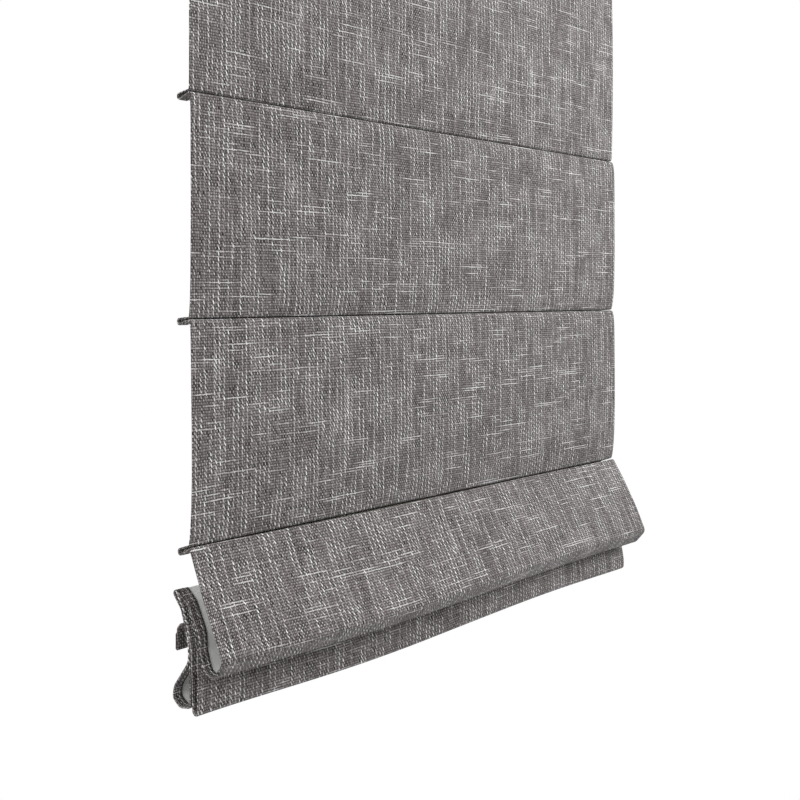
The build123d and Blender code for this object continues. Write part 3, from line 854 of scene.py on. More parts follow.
class NodeBench:
    """Short ways to add shader nodes to one material."""

    def __init__(self, name: str) -> None:
        """Starts a material with a single principled shader.

        Args:
            name: Name of the material.
        """
        self.material = bpy.data.materials.new(name)
        self.material.use_nodes = True
        self.tree = self.material.node_tree
        self.tree.nodes.clear()
        self.shader = self.tree.nodes.new("ShaderNodeBsdfPrincipled")
        output = self.tree.nodes.new("ShaderNodeOutputMaterial")
        self.tree.links.new(self.shader.outputs["BSDF"], output.inputs["Surface"])

    def link(self, value: object, socket: bpy.types.NodeSocket) -> None:
        """Links an output to a socket, or sets the socket to a plain value."""
        if isinstance(value, bpy.types.NodeSocket):
            self.tree.links.new(value, socket)
        else:
            socket.default_value = value

    def math(
        self, operation: str, first: object, second: object = 0.0, third: object = 0.0
    ) -> bpy.types.NodeSocket:
        """A math node's result.

        Args:
            operation: Name of the operation.
            first: First value.
            second: Second value, if the operation has one.
            third: Third value, if the operation has one.

        Returns:
            The output socket.
        """
        node = self.tree.nodes.new("ShaderNodeMath")
        node.operation = operation
        for socket, value in zip(node.inputs, (first, second, third)):
            self.link(value, socket)
        return node.outputs[0]

    def scaled(self, value: object, scale: object, base: object) -> bpy.types.NodeSocket:
        """A value times a scale, added to a base."""
        return self.math("MULTIPLY_ADD", value, scale, base)

    def offset(self, value: object) -> bpy.types.NodeSocket:
        """A value less a half, so that noise lies about 0."""
        return self.math("SUBTRACT", value, 0.5)

    def ramp(
        self, value: object, low: float, high: float, start: float = 0.0, end: float = 1.0
    ) -> bpy.types.NodeSocket:
        """Takes a value smoothly from start at low to end at high.

        Args:
            value: The value.
            low: Where the change begins.
            high: Where it ends.
            start: Result at low.
            end: Result at high.

        Returns:
            The output socket.
        """
        node = self.tree.nodes.new("ShaderNodeMapRange")
        node.interpolation_type = "SMOOTHSTEP"
        for socket, number in zip(node.inputs, (value, low, high, start, end)):
            self.link(number, socket)
        return node.outputs["Result"]

    def noise(
        self, vector: object, scale: float, detail: float = 2.0, rough: float = 0.5
    ) -> bpy.types.NodeSocket:
        """A noise texture's value, about 0.5 in the middle.

        Args:
            vector: Coordinates.
            scale: Features per unit of the coordinates.
            detail: Octaves.
            rough: Share of the finer octaves.

        Returns:
            The output socket.
        """
        node = self.tree.nodes.new("ShaderNodeTexNoise")
        node.noise_dimensions = "3D"
        self.link(vector, node.inputs["Vector"])
        node.inputs["Scale"].default_value = scale
        node.inputs["Detail"].default_value = detail
        node.inputs["Roughness"].default_value = rough
        return node.outputs["Fac"]

    def join(self, x: object, y: object, z: object = 0.0) -> bpy.types.NodeSocket:
        """A vector from three values."""
        node = self.tree.nodes.new("ShaderNodeCombineXYZ")
        for socket, value in zip(node.inputs, (x, y, z)):
            self.link(value, socket)
        return node.outputs[0]

    def split(self, vector: object) -> tuple[bpy.types.NodeSocket, ...]:
        """The three values of a vector."""
        node = self.tree.nodes.new("ShaderNodeSeparateXYZ")
        self.link(vector, node.inputs[0])
        return tuple(node.outputs)

    def mix(self, share: object, first: object, second: object) -> bpy.types.NodeSocket:
        """A colour between two colours.

        Args:
            share: 0 for the first colour, 1 for the second.
            first: First colour.
            second: Second colour.

        Returns:
            The output socket.
        """
        node = self.tree.nodes.new("ShaderNodeMix")
        node.data_type = "RGBA"
        self.link(share, node.inputs["Factor"])
        self.link(first, node.inputs["A"])
        self.link(second, node.inputs["B"])
        return node.outputs["Result"]

    def cloth_map(self) -> tuple[bpy.types.NodeSocket, bpy.types.NodeSocket]:
        """Place on the flat cloth in millimetres, across and along."""
        node = self.tree.nodes.new("ShaderNodeUVMap")
        node.uv_map = "flat_cloth"
        across, along, _ = self.split(node.outputs["UV"])
        return self.math("MULTIPLY", across, 1 / MM), self.math("MULTIPLY", along, 1 / MM)

    def solid_map(self) -> bpy.types.NodeSocket:
        """Place in the blind's frame, in millimetres."""
        node = self.tree.nodes.new("ShaderNodeTexCoord")
        scale = self.tree.nodes.new("ShaderNodeVectorMath")
        scale.operation = "SCALE"
        self.link(node.outputs["Object"], scale.inputs[0])
        scale.inputs["Scale"].default_value = 1 / MM
        return scale.outputs[0]

    def dress(self, colour: object, **values: object) -> None:
        """Sets the shader's colour and other inputs.

        Args:
            colour: The base colour.
            values: Other inputs by name, with _ for a blank.
        """
        self.link(colour, self.shader.inputs["Base Color"])
        for name, value in values.items():
            self.link(value, self.shader.inputs[name.replace("_", " ")])

    def bump(self, height: object, distance: float, strength: float = 1.0) -> None:
        """Raises the surface by a height.

        Args:
            height: The height, 0 to 1.
            distance: Millimetres that 1 stands for.
            strength: Strength of the effect.
        """
        node = self.tree.nodes.new("ShaderNodeBump")
        node.inputs["Strength"].default_value = strength
        node.inputs["Distance"].default_value = distance * MM
        self.link(height, node.inputs["Height"])
        self.tree.links.new(node.outputs["Normal"], self.shader.inputs["Normal"])


def shade(value: int, red: int = 0, green: int = 0, blue: int = 0) -> tuple[float, ...]:
    """A linear colour from a grey of 0 to 255 and small shifts of its channels."""
    channels = []
    for shift in (red, green, blue):
        level = (value + shift) / 255
        channels.append(level / 12.92 if level < 0.04045 else ((level + 0.055) / 1.055) ** 2.4)
    return (*channels, 1.0)


@dataclass(frozen=True)
class Fade:
    """A smooth change from one value to another.

    Args:
        low: Where the change begins.
        high: Where it ends.
        start: Value at low.
        end: Value at high.
    """

    low: float
    high: float
    start: float = 1.0
    end: float = 0.0

    def of(self, bench: NodeBench, value: object) -> bpy.types.NodeSocket:
        """The faded value."""
        return bench.ramp(value, self.low, self.high, self.start, self.end)


@dataclass(frozen=True)
class ClothCloud:
    """Soft noise over the flat cloth.

    Args:
        width: Millimetres across over which it changes.
        length: Millimetres along over which it changes.
        seed: Shift of the pattern.
        detail: Octaves.
        rough: Share of the finer octaves.
    """

    width: float
    length: float
    seed: float = 0.0
    detail: float = 1.0
    rough: float = 0.5

    def offset(self, bench: NodeBench, across: object, along: object) -> bpy.types.NodeSocket:
        """The noise at a place, about 0 in the middle."""
        place = bench.join(
            bench.math("DIVIDE", across, self.width),
            bench.math("DIVIDE", along, self.length),
            self.seed,
        )
        return bench.offset(bench.noise(place, 1.0, self.detail, self.rough))


@dataclass(frozen=True)
class YarnRun:
    """Noise that changes slowly along a yarn and freely from yarn to yarn.

    Args:
        stretch: Millimetres along the yarn over which it changes.
        seed: Shift of the pattern.
        yarn_step: Shift from one yarn to the next.
        detail: Octaves.
        rough: Share of the finer octaves.
    """

    stretch: float
    seed: float
    yarn_step: float = 7.31
    detail: float = 1.5
    rough: float = 0.6

    def level(self, bench: NodeBench, number: object, run: object) -> bpy.types.NodeSocket:
        """The noise of a numbered yarn at a place along it, about 0.5 in the middle."""
        own = bench.math("MULTIPLY", number, self.yarn_step)
        place = bench.join(own, bench.math("DIVIDE", run, self.stretch), self.seed)
        return bench.noise(place, 1.0, self.detail, self.rough)


@dataclass(frozen=True)
class WarpFloat:
    """How a warp yarn covers the weft between two of its crossings.

    Args:
        lean: Sideways slope of the yarn along its float.
        side: Fade from the yarn's middle to its sides, in yarns.
        ends: Fade from the float's middle to its ends, in floats.
    """

    lean: float
    side: Fade
    ends: Fade

    def cover(self, bench: NodeBench, beside: object, part: object) -> bpy.types.NodeSocket:
        """How much of the weft is covered, 0 to 1.

        Args:
            bench: Where the nodes go.
            beside: Place across the yarn.
            part: Place along the float.

        Returns:
            The output socket.
        """
        aside = bench.math("ABSOLUTE", bench.scaled(part, self.lean, beside))
        run = bench.math("ABSOLUTE", part)
        return bench.math("MULTIPLY", self.side.of(bench, aside), self.ends.of(bench, run))


@dataclass(frozen=True)
class YarnPlace:
    """Sockets that say where a point lies among the yarns.

    Args:
        across: Millimetres across the flat cloth.
        along: Millimetres along it.
        cross: Millimetres across, after the yarns' drift.
        warp: Number of the warp yarn, with its fraction.
        column: Whole number of the warp yarn.
        beside: Place across the warp yarn, -0.5 to 0.5.
        floats: Number of the warp float, with its fraction.
        weft: Number of the weft yarn, with its fraction.
        row: Whole number of the weft yarn.
        height: Distance from the weft yarn's middle, 0 to 0.5.
    """

    across: bpy.types.NodeSocket
    along: bpy.types.NodeSocket
    cross: bpy.types.NodeSocket
    warp: bpy.types.NodeSocket
    column: bpy.types.NodeSocket
    beside: bpy.types.NodeSocket
    floats: bpy.types.NodeSocket
    weft: bpy.types.NodeSocket
    row: bpy.types.NodeSocket
    height: bpy.types.NodeSocket


@dataclass(frozen=True)
class SlubWeave:
    """The face cloth: a coarse plain weave in taupe with pale slub yarns both ways.

    Lengths are millimetres on the flat cloth, and tones run from 0, dark, to 1, pale. A value
    named X_in_Y is the weight of X where it is added to Y.
    """

    name: str = "face_cloth_weave"
    warp_pitch: float = 2.25
    weft_pitch: float = 3.45
    slub_every: float = 3.0
    dark: tuple[float, ...] = shade(22, 5, 0, 0)
    ground: tuple[float, ...] = shade(132, 7, 0, 0)
    pale: tuple[float, ...] = shade(232, -2, 1, 0)

    side_drifts: tuple[tuple[ClothCloud, float], ...] = (
        (ClothCloud(26.0, 38.0, 0.0, 2.0, 0.4), 6.5),
        (ClothCloud(5.0, 8.0, 3.0), 1.7),
    )
    long_drifts: tuple[tuple[ClothCloud, float], ...] = (
        (ClothCloud(60.0, 30.0, 9.0), 3.0),
        (ClothCloud(8.0, 5.0, 6.0), 1.6),
    )

    patches: ClothCloud = ClothCloud(62.0, 58.0, 4.0, 2.5, 0.55)
    patches_in_slubs: float = 0.35
    patches_in_tone: float = 0.14
    bunches: ClothCloud = ClothCloud(14.0, 90.0, 6.0)
    bunches_in_slubs: float = 0.5
    clusters: ClothCloud = ClothCloud(90.0, 26.0, 8.0)
    clusters_in_slubs: float = 0.55

    warp_run: YarnRun = YarnRun(60.0, 1.7)
    weft_run: YarnRun = YarnRun(75.0, 5.3)
    light_run: YarnRun = YarnRun(140.0, 3.3)
    slub_yarn_bonus: float = 0.30
    slub_yarn_pick: float = 0.4
    warp_slubs: Fade = Fade(0.64, 0.84, 0.0, 1.0)
    weft_slubs: Fade = Fade(0.585, 0.73, 0.0, 1.0)

    float_middle: float = 0.25
    thin_float: WarpFloat = WarpFloat(0.3, Fade(0.14, 0.40), Fade(0.12, 0.26))
    thick_float: WarpFloat = WarpFloat(1.1, Fade(0.22, 0.52), Fade(0.20, 0.46, 1.0, 0.62))
    weft_side: Fade = Fade(0.24, 0.52)
    weft_between: Fade = Fade(0.14, 0.48)

    speck_scale: float = 0.73
    speck_seed: float = 0.5
    warp_tone: float = 0.54
    slub_in_warp: float = 0.24
    speck_in_warp: float = 0.54
    speck_in_slub: float = 0.35
    light_in_warp: float = 0.60
    weft_tone: float = 0.34
    run_in_weft: float = 0.50
    speck_in_weft: float = -0.95
    light_in_weft: float = 0.30

    line_side: Fade = Fade(0.06, 0.22)
    line_breaks: Fade = Fade(0.28, 0.58, 0.50, 1.0)
    break_scale: float = 0.6
    break_seed: float = 2.0
    line_tone: float = 0.88
    cover_in_line: float = -0.08

    roughness: float = 0.92
    specular: float = 0.25
    sheen: float = 0.08
    sheen_roughness: float = 0.5
    weft_relief: float = 0.6
    slub_relief: float = 0.6
    relief: float = 0.6

    def find(self, bench: NodeBench) -> YarnPlace:
        """Finds the place of a point among the yarns, which drift slowly from their lines."""
        across, along = bench.cloth_map()
        cross, down = across, along
        for cloud, reach in self.side_drifts:
            cross = bench.scaled(cloud.offset(bench, across, along), reach, cross)
        for cloud, reach in self.long_drifts:
            down = bench.scaled(cloud.offset(bench, across, along), reach, down)
        warp = bench.math("DIVIDE", cross, self.warp_pitch)
        column = bench.math("FLOOR", warp)
        picks = bench.math("DIVIDE", down, 2 * self.weft_pitch)
        weft = bench.math("DIVIDE", down, self.weft_pitch)
        return YarnPlace(
            across=across,
            along=along,
            cross=cross,
            warp=warp,
            column=column,
            beside=bench.offset(bench.math("FRACT", warp)),
            floats=bench.scaled(column, 0.5, picks),
            weft=weft,
            row=bench.math("FLOOR", weft),
            height=bench.math("ABSOLUTE", bench.offset(bench.math("FRACT", weft))),
        )

    def warp_slub(self, bench: NodeBench, at: YarnPlace, patches: object) -> bpy.types.NodeSocket:
        """Where a warp yarn swells into a slub, 0 to 1.

        Args:
            bench: Where the nodes go.
            at: Place among the yarns.
            patches: Patches where more slubs show, about 0 in the middle.

        Returns:
            The output socket.
        """
        bunches = self.bunches.offset(bench, at.cross, at.along)
        level = self.warp_run.level(bench, at.column, at.along)
        level = bench.scaled(bunches, self.bunches_in_slubs, level)
        level = bench.scaled(patches, self.patches_in_slubs, level)
        turn = bench.math("FLOORED_MODULO", at.column, self.slub_every)
        chosen = bench.math("COMPARE", turn, 0.0, self.slub_yarn_pick)
        return self.warp_slubs.of(bench, bench.scaled(chosen, self.slub_yarn_bonus, level))

    def cover(self, bench: NodeBench, at: YarnPlace, slub: object) -> bpy.types.NodeSocket:
        """How much of the weft the warp covers, more where it has a slub.

        Args:
            bench: Where the nodes go.
            at: Place among the yarns.
            slub: How far the warp yarn is a slub.

        Returns:
            The output socket.
        """
        part = bench.math("SUBTRACT", bench.math("FRACT", at.floats), self.float_middle)
        thin = self.thin_float.cover(bench, at.beside, part)
        thick = self.thick_float.cover(bench, at.beside, part)
        return bench.scaled(bench.math("SUBTRACT", thick, thin), slub, thin)

    def slub_line(
        self, bench: NodeBench, at: YarnPlace, weft_noise: object
    ) -> bpy.types.NodeSocket:
        """How much of a pale slub in the weft shows, 0 to 1.

        Args:
            bench: Where the nodes go.
            at: Place among the yarns.
            weft_noise: The weft yarn's own noise.

        Returns:
            The output socket.
        """
        clusters = self.clusters.offset(bench, at.across, at.along)
        level = bench.scaled(clusters, self.clusters_in_slubs, weft_noise)
        place = bench.join(at.warp, at.weft, self.break_seed)
        broken = self.line_breaks.of(bench, bench.noise(place, self.break_scale, 1.0))
        side = self.line_side.of(bench, at.height)
        line = bench.math("MULTIPLY", self.weft_slubs.of(bench, level), side)
        return bench.math("MULTIPLY", line, broken)

    def yarn_tone(
        self,
        bench: NodeBench,
        at: YarnPlace,
        slub: object,
        over: object,
        weft_body: object,
        weft_noise: object,
    ) -> bpy.types.NodeSocket:
        """Tone of the yarn that lies on top, before the weft's slubs.

        Args:
            bench: Where the nodes go.
            at: Place among the yarns.
            slub: How far the warp yarn is a slub.
            over: How much the warp covers the weft.
            weft_body: How much of the weft yarn is there, 0 in the gaps.
            weft_noise: The weft yarn's own noise.

        Returns:
            The output socket.
        """
        place = bench.join(at.column, bench.math("FLOOR", at.floats), self.speck_seed)
        speck = bench.offset(bench.noise(place, self.speck_scale, 0.0))
        light = bench.offset(self.light_run.level(bench, at.column, at.along))
        uneven = bench.scaled(slub, self.speck_in_slub, self.speck_in_warp)
        warp = bench.scaled(slub, self.slub_in_warp, self.warp_tone)
        warp = bench.scaled(speck, uneven, warp)
        warp = bench.scaled(light, self.light_in_warp, warp)
        weft = bench.scaled(bench.offset(weft_noise), self.run_in_weft, self.weft_tone)
        weft = bench.scaled(speck, self.speck_in_weft, weft)
        weft = bench.scaled(light, self.light_in_weft, weft)
        weft = bench.math("MULTIPLY", weft_body, weft)
        return bench.scaled(bench.math("SUBTRACT", warp, weft), over, weft)

    def colour(self, bench: NodeBench, tone: object) -> bpy.types.NodeSocket:
        """The colour of a tone, from dark over ground to pale."""
        low = bench.mix(bench.math("MULTIPLY", tone, 2.0), self.dark, self.ground)
        high = bench.math("MAXIMUM", bench.scaled(tone, 2.0, -1.0), 0.0)
        return bench.mix(high, low, self.pale)

    def make(self) -> bpy.types.Material:
        """Builds the material."""
        bench = NodeBench(self.name)
        at = self.find(bench)
        patches = self.patches.offset(bench, at.across, at.along)
        slub = self.warp_slub(bench, at, patches)
        over = self.cover(bench, at, slub)
        weft_noise = self.weft_run.level(bench, at.row, at.across)
        weft_body = bench.math(
            "MULTIPLY",
            self.weft_side.of(bench, at.height),
            self.weft_between.of(bench, bench.math("ABSOLUTE", at.beside)),
        )
        tone = self.yarn_tone(bench, at, slub, over, weft_body, weft_noise)
        top = bench.scaled(over, self.cover_in_line, self.line_tone)
        rise = bench.math("SUBTRACT", top, tone)
        tone = bench.scaled(rise, self.slub_line(bench, at, weft_noise), tone)
        tone = bench.scaled(patches, self.patches_in_tone, tone)
        bench.dress(
            self.colour(bench, tone),
            Roughness=self.roughness,
            Specular_IOR_Level=self.specular,
            Sheen_Weight=self.sheen,
            Sheen_Roughness=self.sheen_roughness,
        )
        body = bench.math("MULTIPLY", weft_body, self.weft_relief)
        height = bench.math("MAXIMUM", body, over)
        height = bench.scaled(bench.math("MULTIPLY", over, slub), self.slub_relief, height)
        bench.bump(height, self.relief)
        return bench.material


@dataclass(frozen=True)
class PlainWeave:
    """A fine plain weave, for the lining.

    Args:
        name: Name of the material.
        colour: Colour of the yarn.
        pitch: Distance between yarns, in millimetres.
        shadow: Brightness of its darker patches, as a share of the colour's.
        patch_scale: Patches in a millimetre.
        patch_detail: Octaves of the patches.
        weave_in_tone: Weight of the weave where it is added to the patches.
        tones: Change from the darker colour to the yarn's.
        roughness: Roughness.
        sheen: Weight of the sheen.
        relief: Height of the weave in millimetres.
        relief_strength: Strength of that height.
    """

    name: str
    colour: tuple[float, ...]
    pitch: float = 0.7
    shadow: float = 0.92
    patch_scale: float = 0.02
    patch_detail: float = 3.0
    weave_in_tone: float = 0.10
    tones: Fade = Fade(0.2, 0.8, 0.0, 1.0)
    roughness: float = 0.78
    sheen: float = 0.05
    relief: float = 0.05
    relief_strength: float = 0.6

    def make(self) -> bpy.types.Material:
        """Builds the material."""
        bench = NodeBench(self.name)
        across, along = bench.cloth_map()
        cross = bench.math("SINE", bench.math("MULTIPLY", across, 2 * math.pi / self.pitch))
        down = bench.math("SINE", bench.math("MULTIPLY", along, 2 * math.pi / self.pitch))
        weave = bench.math("MULTIPLY", cross, down)
        soft = bench.noise(bench.join(across, along), self.patch_scale, self.patch_detail)
        tone = self.tones.of(bench, bench.scaled(weave, self.weave_in_tone, soft))
        dim = tuple(self.shadow * channel for channel in self.colour[:3]) + (1.0,)
        bench.dress(
            bench.mix(tone, dim, self.colour), Roughness=self.roughness, Sheen_Weight=self.sheen
        )
        bench.bump(weave, self.relief, self.relief_strength)
        return bench.material


@dataclass(frozen=True)
class SolidFinish:
    """A finish of a hard piece or a cord, patterned in the blind's own frame.

    Args:
        name: Name of the material.
        colour: Main colour.
        second: Colour of its darker specks or streaks.
        metal: 1 for bare metal, 0 otherwise.
        roughness: Mean roughness.
        grain: Size of the pattern in millimetres, along X, Y and Z.
        relief: Height of the pattern in millimetres.
        contrast: How much of the second colour shows.
        clear: Weight of a clear coat.
        through: Share of light that passes through.
        octaves: Octaves of both noises.
        fine_rough: Share of the finer octaves in the fine noise.
        wide_scale: Scale of the wide noise beside the fine one.
        fine_specks: How the fine noise brings out the second colour.
        wide_specks: How the wide noise does.
        wide_share: Weight of the wide noise beside the fine one.
        roughness_spread: How far the roughness goes to both sides of its mean.
        roughness_span: Values of the fine noise at the ends of that spread.
        relief_strength: Strength of the pattern's height.
    """

    name: str
    colour: tuple[float, ...]
    second: tuple[float, ...]
    metal: float = 0.0
    roughness: float = 0.5
    grain: tuple[float, float, float] = (1.0, 1.0, 1.0)
    relief: float = 0.02
    contrast: float = 0.3
    clear: float = 0.0
    through: float = 0.0
    octaves: float = 3.0
    fine_rough: float = 0.6
    wide_scale: float = 0.08
    fine_specks: Fade = Fade(0.35, 0.75, 0.0, 1.0)
    wide_specks: Fade = Fade(0.45, 0.75, 0.0, 1.0)
    wide_share: float = 0.4
    roughness_spread: float = 0.08
    roughness_span: tuple[float, float] = (0.3, 0.7)
    relief_strength: float = 0.7

    def make(self) -> bpy.types.Material:
        """Builds the material."""
        bench = NodeBench(self.name)
        axes = bench.split(bench.solid_map())
        place = bench.join(*(bench.math("DIVIDE", v, g) for v, g in zip(axes, self.grain)))
        fine = bench.noise(place, 1.0, self.octaves, self.fine_rough)
        wide = bench.noise(place, self.wide_scale, self.octaves)
        share = bench.math("MULTIPLY", self.fine_specks.of(bench, fine), self.contrast)
        specks = self.wide_specks.of(bench, wide)
        share = bench.scaled(specks, self.wide_share * self.contrast, share)
        low = self.roughness - self.roughness_spread
        high = self.roughness + self.roughness_spread
        bench.dress(
            bench.mix(share, self.colour, self.second),
            Metallic=self.metal,
            Roughness=bench.ramp(fine, *self.roughness_span, low, high),
            Coat_Weight=self.clear,
            Transmission_Weight=self.through,
        )
        bench.bump(fine, self.relief, self.relief_strength)
        return bench.material


@dataclass(frozen=True)
class BraidedCord:
    """A braided cord: strands that cross as they go round it.

    Args:
        name: Name of the material.
        colour: Colour of the strands.
        shadow: Colour between them.
        pitch: Distance between crossings, in millimetres.
        roughness: Roughness.
        relief: Height of the strands in millimetres.
        relief_strength: Strength of that height.
    """

    name: str = "cord_braid"
    colour: tuple[float, ...] = shade(232, 0, -1, -6)
    shadow: tuple[float, ...] = shade(168, 0, -2, -8)
    pitch: float = 1.5
    roughness: float = 0.85
    relief: float = 0.12
    relief_strength: float = 0.8

    def make(self) -> bpy.types.Material:
        """Builds the material."""
        bench = NodeBench(self.name)
        x, y, z = bench.split(bench.solid_map())
        rise = bench.math("MULTIPLY", z, 2 * math.pi / self.pitch)
        turn = bench.math("MULTIPLY", bench.math("ADD", x, y), 2 * math.pi / self.pitch)
        left = bench.math("SINE", bench.math("ADD", rise, turn))
        right = bench.math("SINE", bench.math("SUBTRACT", rise, turn))
        braid = bench.ramp(bench.math("MULTIPLY", left, right), -1.0, 1.0)
        bench.dress(bench.mix(braid, self.shadow, self.colour), Roughness=self.roughness)
        bench.bump(braid, self.relief, self.relief_strength)
        return bench.material


class Finish(Enum):
    """The finishes of the pieces that keep their solid shape."""

    WHITE_RAIL = SolidFinish(
        "rail_powder_coat", shade(232), shade(214, 0, 0, -3),
        roughness=0.38, grain=(0.9, 0.9, 0.9), relief=0.03, contrast=0.25, clear=0.1,
    )
    BARE_BAR = SolidFinish(
        "bar_aluminium", shade(196), shade(160),
        metal=1.0, roughness=0.36, grain=(30.0, 0.5, 0.5), relief=0.01, contrast=0.4,
    )
    ZINC = SolidFinish(
        "zinc_plate", shade(196, 0, 0, 4), shade(140, 6, 4, 0),
        metal=1.0, roughness=0.34, grain=(2.2, 2.2, 2.2), relief=0.01, contrast=0.5,
    )
    SCREW = SolidFinish(
        "screw_zinc", shade(188, 0, 0, 4), shade(120),
        metal=1.0, roughness=0.30, grain=(0.8, 0.8, 0.8), relief=0.02, contrast=0.5,
    )
    SHAFT = SolidFinish(
        "drawn_steel", shade(170), shade(120),
        metal=1.0, roughness=0.28, grain=(40.0, 0.4, 0.4), relief=0.01, contrast=0.5,
    )
    SPRING = SolidFinish(
        "blued_strip", shade(96, 0, 4, 14), shade(70, 0, 2, 12),
        metal=1.0, roughness=0.30, grain=(3.0, 0.6, 0.6), relief=0.01, contrast=0.5,
    )
    WHITE_PLASTIC = SolidFinish(
        "moulded_white", shade(226, 0, 0, -3), shade(206, 0, 0, -5),
        roughness=0.48, grain=(1.2, 1.2, 1.2), relief=0.03, contrast=0.2,
    )
    GREY_PLASTIC = SolidFinish(
        "moulded_grey", shade(150), shade(132),
        roughness=0.52, grain=(1.0, 1.0, 1.0), relief=0.04, contrast=0.3,
    )
    TAPE = SolidFinish(
        "tape_pile", shade(228, 0, 0, -4), shade(184, 0, -1, -6),
        roughness=0.9, grain=(0.8, 0.8, 0.8), relief=0.35, contrast=0.8,
    )
    ROD = SolidFinish(
        "rod_fibre", shade(224, 2, 0, -14), shade(198, 4, 0, -20),
        roughness=0.30, grain=(25.0, 0.3, 0.3), relief=0.01, contrast=0.4, clear=0.3,
    )
    RING = SolidFinish(
        "ring_plastic", shade(232), shade(220),
        roughness=0.16, grain=(2.0, 2.0, 2.0), relief=0.005, contrast=0.2, clear=0.2, through=0.35,
    )
    FLOOR = SolidFinish(
        "floor_paint", shade(238), shade(234),
        roughness=0.8, grain=(60.0, 60.0, 60.0), relief=0.1, contrast=0.2,
    )


SLOT_FINISHES: dict[str, Finish] = {
    "rail_metal": Finish.WHITE_RAIL,
    "bar_metal": Finish.BARE_BAR,
    "bracket_steel": Finish.ZINC,
    "screw_steel": Finish.SCREW,
    "shaft_steel": Finish.SHAFT,
    "spring_steel": Finish.SPRING,
    "white_plastic": Finish.WHITE_PLASTIC,
    "grey_plastic": Finish.GREY_PLASTIC,
    "tape_fabric": Finish.TAPE,
    "rod_plastic": Finish.ROD,
    "ring_plastic": Finish.RING,
}


@dataclass
class Blind:
    """The dressed blind: two sheets of cloth and the finishes of the solid pieces."""

    frame: dict
    sizes: BlindSizes = field(default_factory=BlindSizes)

    def hang_cloth(self) -> None:
        """Builds the face cloth and the lining, and dresses them."""
        size = self.sizes
        profile = BlindProfile(size)
        drape = Drape(size)
        face = FaceCloth(
            "face_cloth_sheet",
            profile.face_line(),
            drape,
            size.face_thickness / 2,
            size.face_thickness,
        )
        lining = Lining(
            "lining_sheet",
            profile.lining_line(),
            drape,
            (size.lining_front + size.lining_back) / 2,
            size.lining_thickness,
        )
        lining_width = 2 * (size.half_width - size.face_thickness - size.layer_gap)
        finishes = (SlubWeave().make(), PlainWeave("lining_weave", shade(208, 0, 0, -2)).make())
        plans = (
            (face, "face_cloth", "face_fabric", size.width + 2 * size.side_hem, finishes[0]),
            (lining, "lining", "lining_fabric", lining_width, finishes[1]),
        )
        for sheet, node, slot, width, finish in plans:
            piece = sheet.build()
            piece.data.materials.append(finish)
            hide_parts(node)
            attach(piece, "blind")
            sheet.length * MM
            log.info("%s: %.0f by %.0f mm flat", piece.name, width, sheet.length)

    def finish_hardware(self) -> None:
        """Gives every solid piece that stays its finish."""
        made = {slot: finish.value.make() for slot, finish in SLOT_FINISHES.items()}
        made["cord_fabric"] = BraidedCord().make()
        for part in self.frame["record"]["subparts"]:
            slot = part["material_slot"]
            if slot not in made:
                continue
            node = self.frame["nodes"][part["node"]]
            if node.material_slots:
                node.material_slots[0].material = made[slot]
            else:
                node.data.materials.append(made[slot])
            log.info("%s: %s", part["node"], made[slot].name)


@dataclass(frozen=True)
class Lamp:
    """A square soft lamp.

    Args:
        name: Name of the lamp.
        place: Where it stands, in metres.
        aim: What it points at, in metres.
        side: Its side in metres.
        power: Its power in watts.
    """

    name: str
    place: tuple[float, float, float]
    aim: tuple[float, float, float]
    side: float
    power: float

    def light(self) -> None:
        """Adds the lamp to the scene."""
        data = bpy.data.lights.new(self.name, "AREA")
        data.shape = "SQUARE"
        data.size = self.side
        data.energy = self.power
        lamp = bpy.data.objects.new(self.name, data)
        lamp.location = self.place
        direction = Vector(self.aim) - Vector(self.place)
        lamp.rotation_euler = direction.to_track_quat("-Z", "Y").to_euler()
        bpy.context.collection.objects.link(lamp)


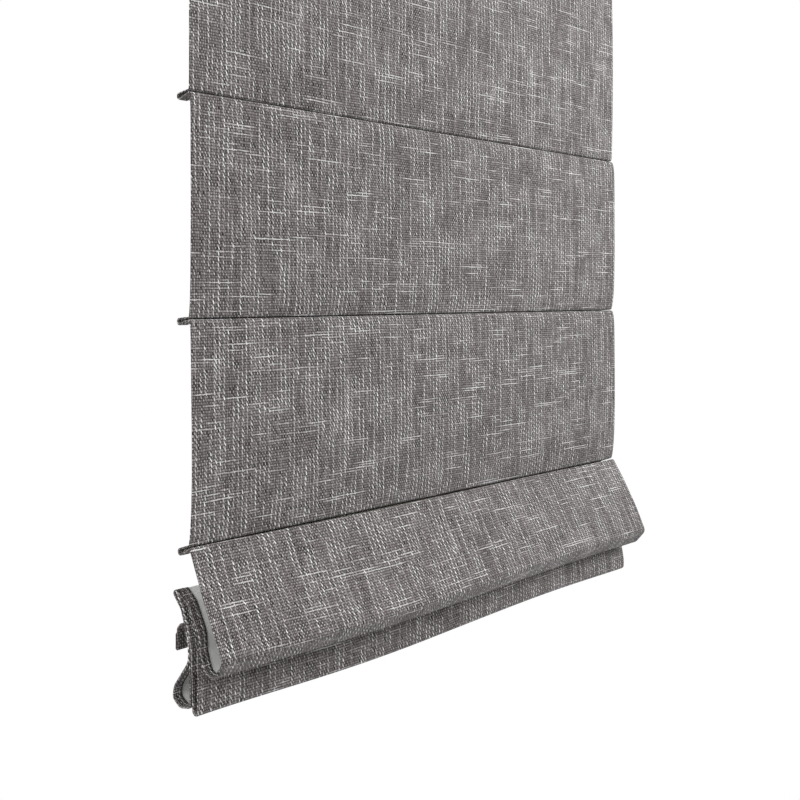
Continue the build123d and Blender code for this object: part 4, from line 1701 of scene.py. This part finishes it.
@dataclass
class Studio:
    """White room, soft lamps and the photograph's camera.

    Args:
        sizes: The cloth's sizes.
        lens: The camera's focal length in millimetres.
        sensor: Width of its sensor in millimetres.
        near: Nearest distance that it shows, in metres.
        far: Farthest distance that it shows, in metres.
        turn: Degrees that it is turned to the right from facing the wall.
        left_of_edge: Millimetres from the cloth's left edge to the camera.
        before_cloth: Millimetres from the cloth's front to the camera.
        above_crease: Millimetres from the lowest crease up to the camera.
        horizon: Pixels from the picture's top to the horizon.
        picture: Pixels along a side of the picture.
        floor_drop: Millimetres from the wall screws down to the floor.
        floor_radius: The floor's radius in millimetres.
        floor_parts: Sides of the floor's rim.
        world_light: Strength of the room's light on the blind, 1 where it is seen.
        lamps: The lamps at the right front, above and at the left.
    """

    sizes: BlindSizes = field(default_factory=BlindSizes)
    lens: float = 45.0
    sensor: float = 36.0
    near: float = 0.05
    far: float = 50.0
    turn: float = 45.22
    left_of_edge: float = 662.7
    before_cloth: float = 1008.3
    above_crease: float = 299.7
    horizon: float = 293.4
    picture: float = 800.0
    floor_drop: float = 2300.0
    floor_radius: float = 1800.0
    floor_parts: int = 96
    world_light: float = 0.50
    lamps: tuple[Lamp, ...] = (
        Lamp("key_lamp", (1.3, -1.7, 0.3), (0.3, 0.0, -0.7), 0.9, 44.0),
        Lamp("top_lamp", (0.35, -1.0, 2.2), (0.1, 0.0, -0.7), 1.4, 40.0),
        Lamp("left_lamp", (-2.6, -0.6, 0.1), (-0.45, 0.0, -0.9), 1.4, 44.0),
    )

    def camera(self) -> None:
        """Places the camera where the photograph was taken from."""
        size = self.sizes
        data = bpy.data.cameras.new("photo_camera")
        data.lens = self.lens
        data.sensor_width = self.sensor
        data.shift_y = (self.horizon - self.picture / 2) / self.picture
        data.clip_start = self.near
        data.clip_end = self.far
        camera = bpy.data.objects.new("photo_camera", data)
        place = (
            -size.half_width - self.left_of_edge,
            -size.wall_depth - self.before_cloth,
            size.last_crease + self.above_crease,
        )
        camera.location = Vector(place) * MM
        camera.rotation_euler = (math.pi / 2, 0.0, -math.radians(self.turn))
        bpy.context.collection.objects.link(camera)
        bpy.context.scene.camera = camera

    def room(self) -> None:
        """A world that is white to the camera and in reflections, and dimmer as light."""
        world = bpy.data.worlds.new("white_room")
        bpy.context.scene.world = world
        world.use_nodes = True
        nodes, links = world.node_tree.nodes, world.node_tree.links
        nodes.clear()
        rays = nodes.new("ShaderNodeLightPath")
        seen = rays.outputs["Is Camera Ray"]
        for kind in ("Is Glossy Ray", "Is Transmission Ray"):
            either = nodes.new("ShaderNodeMath")
            either.operation = "MAXIMUM"
            links.new(seen, either.inputs[0])
            links.new(rays.outputs[kind], either.inputs[1])
            seen = either.outputs[0]
        strength = nodes.new("ShaderNodeMapRange")
        strength.inputs["To Min"].default_value = self.world_light
        strength.inputs["To Max"].default_value = 1.0
        links.new(seen, strength.inputs["Value"])
        background = nodes.new("ShaderNodeBackground")
        background.inputs["Color"].default_value = (1.0, 1.0, 1.0, 1.0)
        links.new(strength.outputs["Result"], background.inputs["Strength"])
        output = nodes.new("ShaderNodeOutputWorld")
        links.new(background.outputs[0], output.inputs["Surface"])

    def floor(self) -> None:
        """A round pale floor well below the hanging blind."""
        mesh = bpy.data.meshes.new("studio_floor")
        bm = bmesh.new()
        radius = self.floor_radius * MM
        bmesh.ops.create_circle(bm, cap_ends=True, segments=self.floor_parts, radius=radius)
        bmesh.ops.translate(bm, verts=bm.verts, vec=(0.0, 0.0, -self.floor_drop * MM))
        bm.to_mesh(mesh)
        bm.free()
        floor = bpy.data.objects.new("studio_floor", mesh)
        bpy.context.collection.objects.link(floor)
        mesh.materials.append(Finish.FLOOR.value.make())

    def build(self) -> None:
        """Sets up the whole studio."""
        self.camera()
        for lamp in self.lamps:
            lamp.light()
        self.room()
        self.floor()
        bpy.context.scene.view_settings.view_transform = "Standard"


def main() -> None:
    """Loads the frame, dresses the blind and sets up the studio."""
    logging.basicConfig(level=logging.INFO, format="%(name)s: %(message)s")
    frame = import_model()
    Studio().build()
    blind = Blind(frame)
    blind.hang_cloth()
    blind.finish_hardware()


if __name__ == "__main__":
    main()
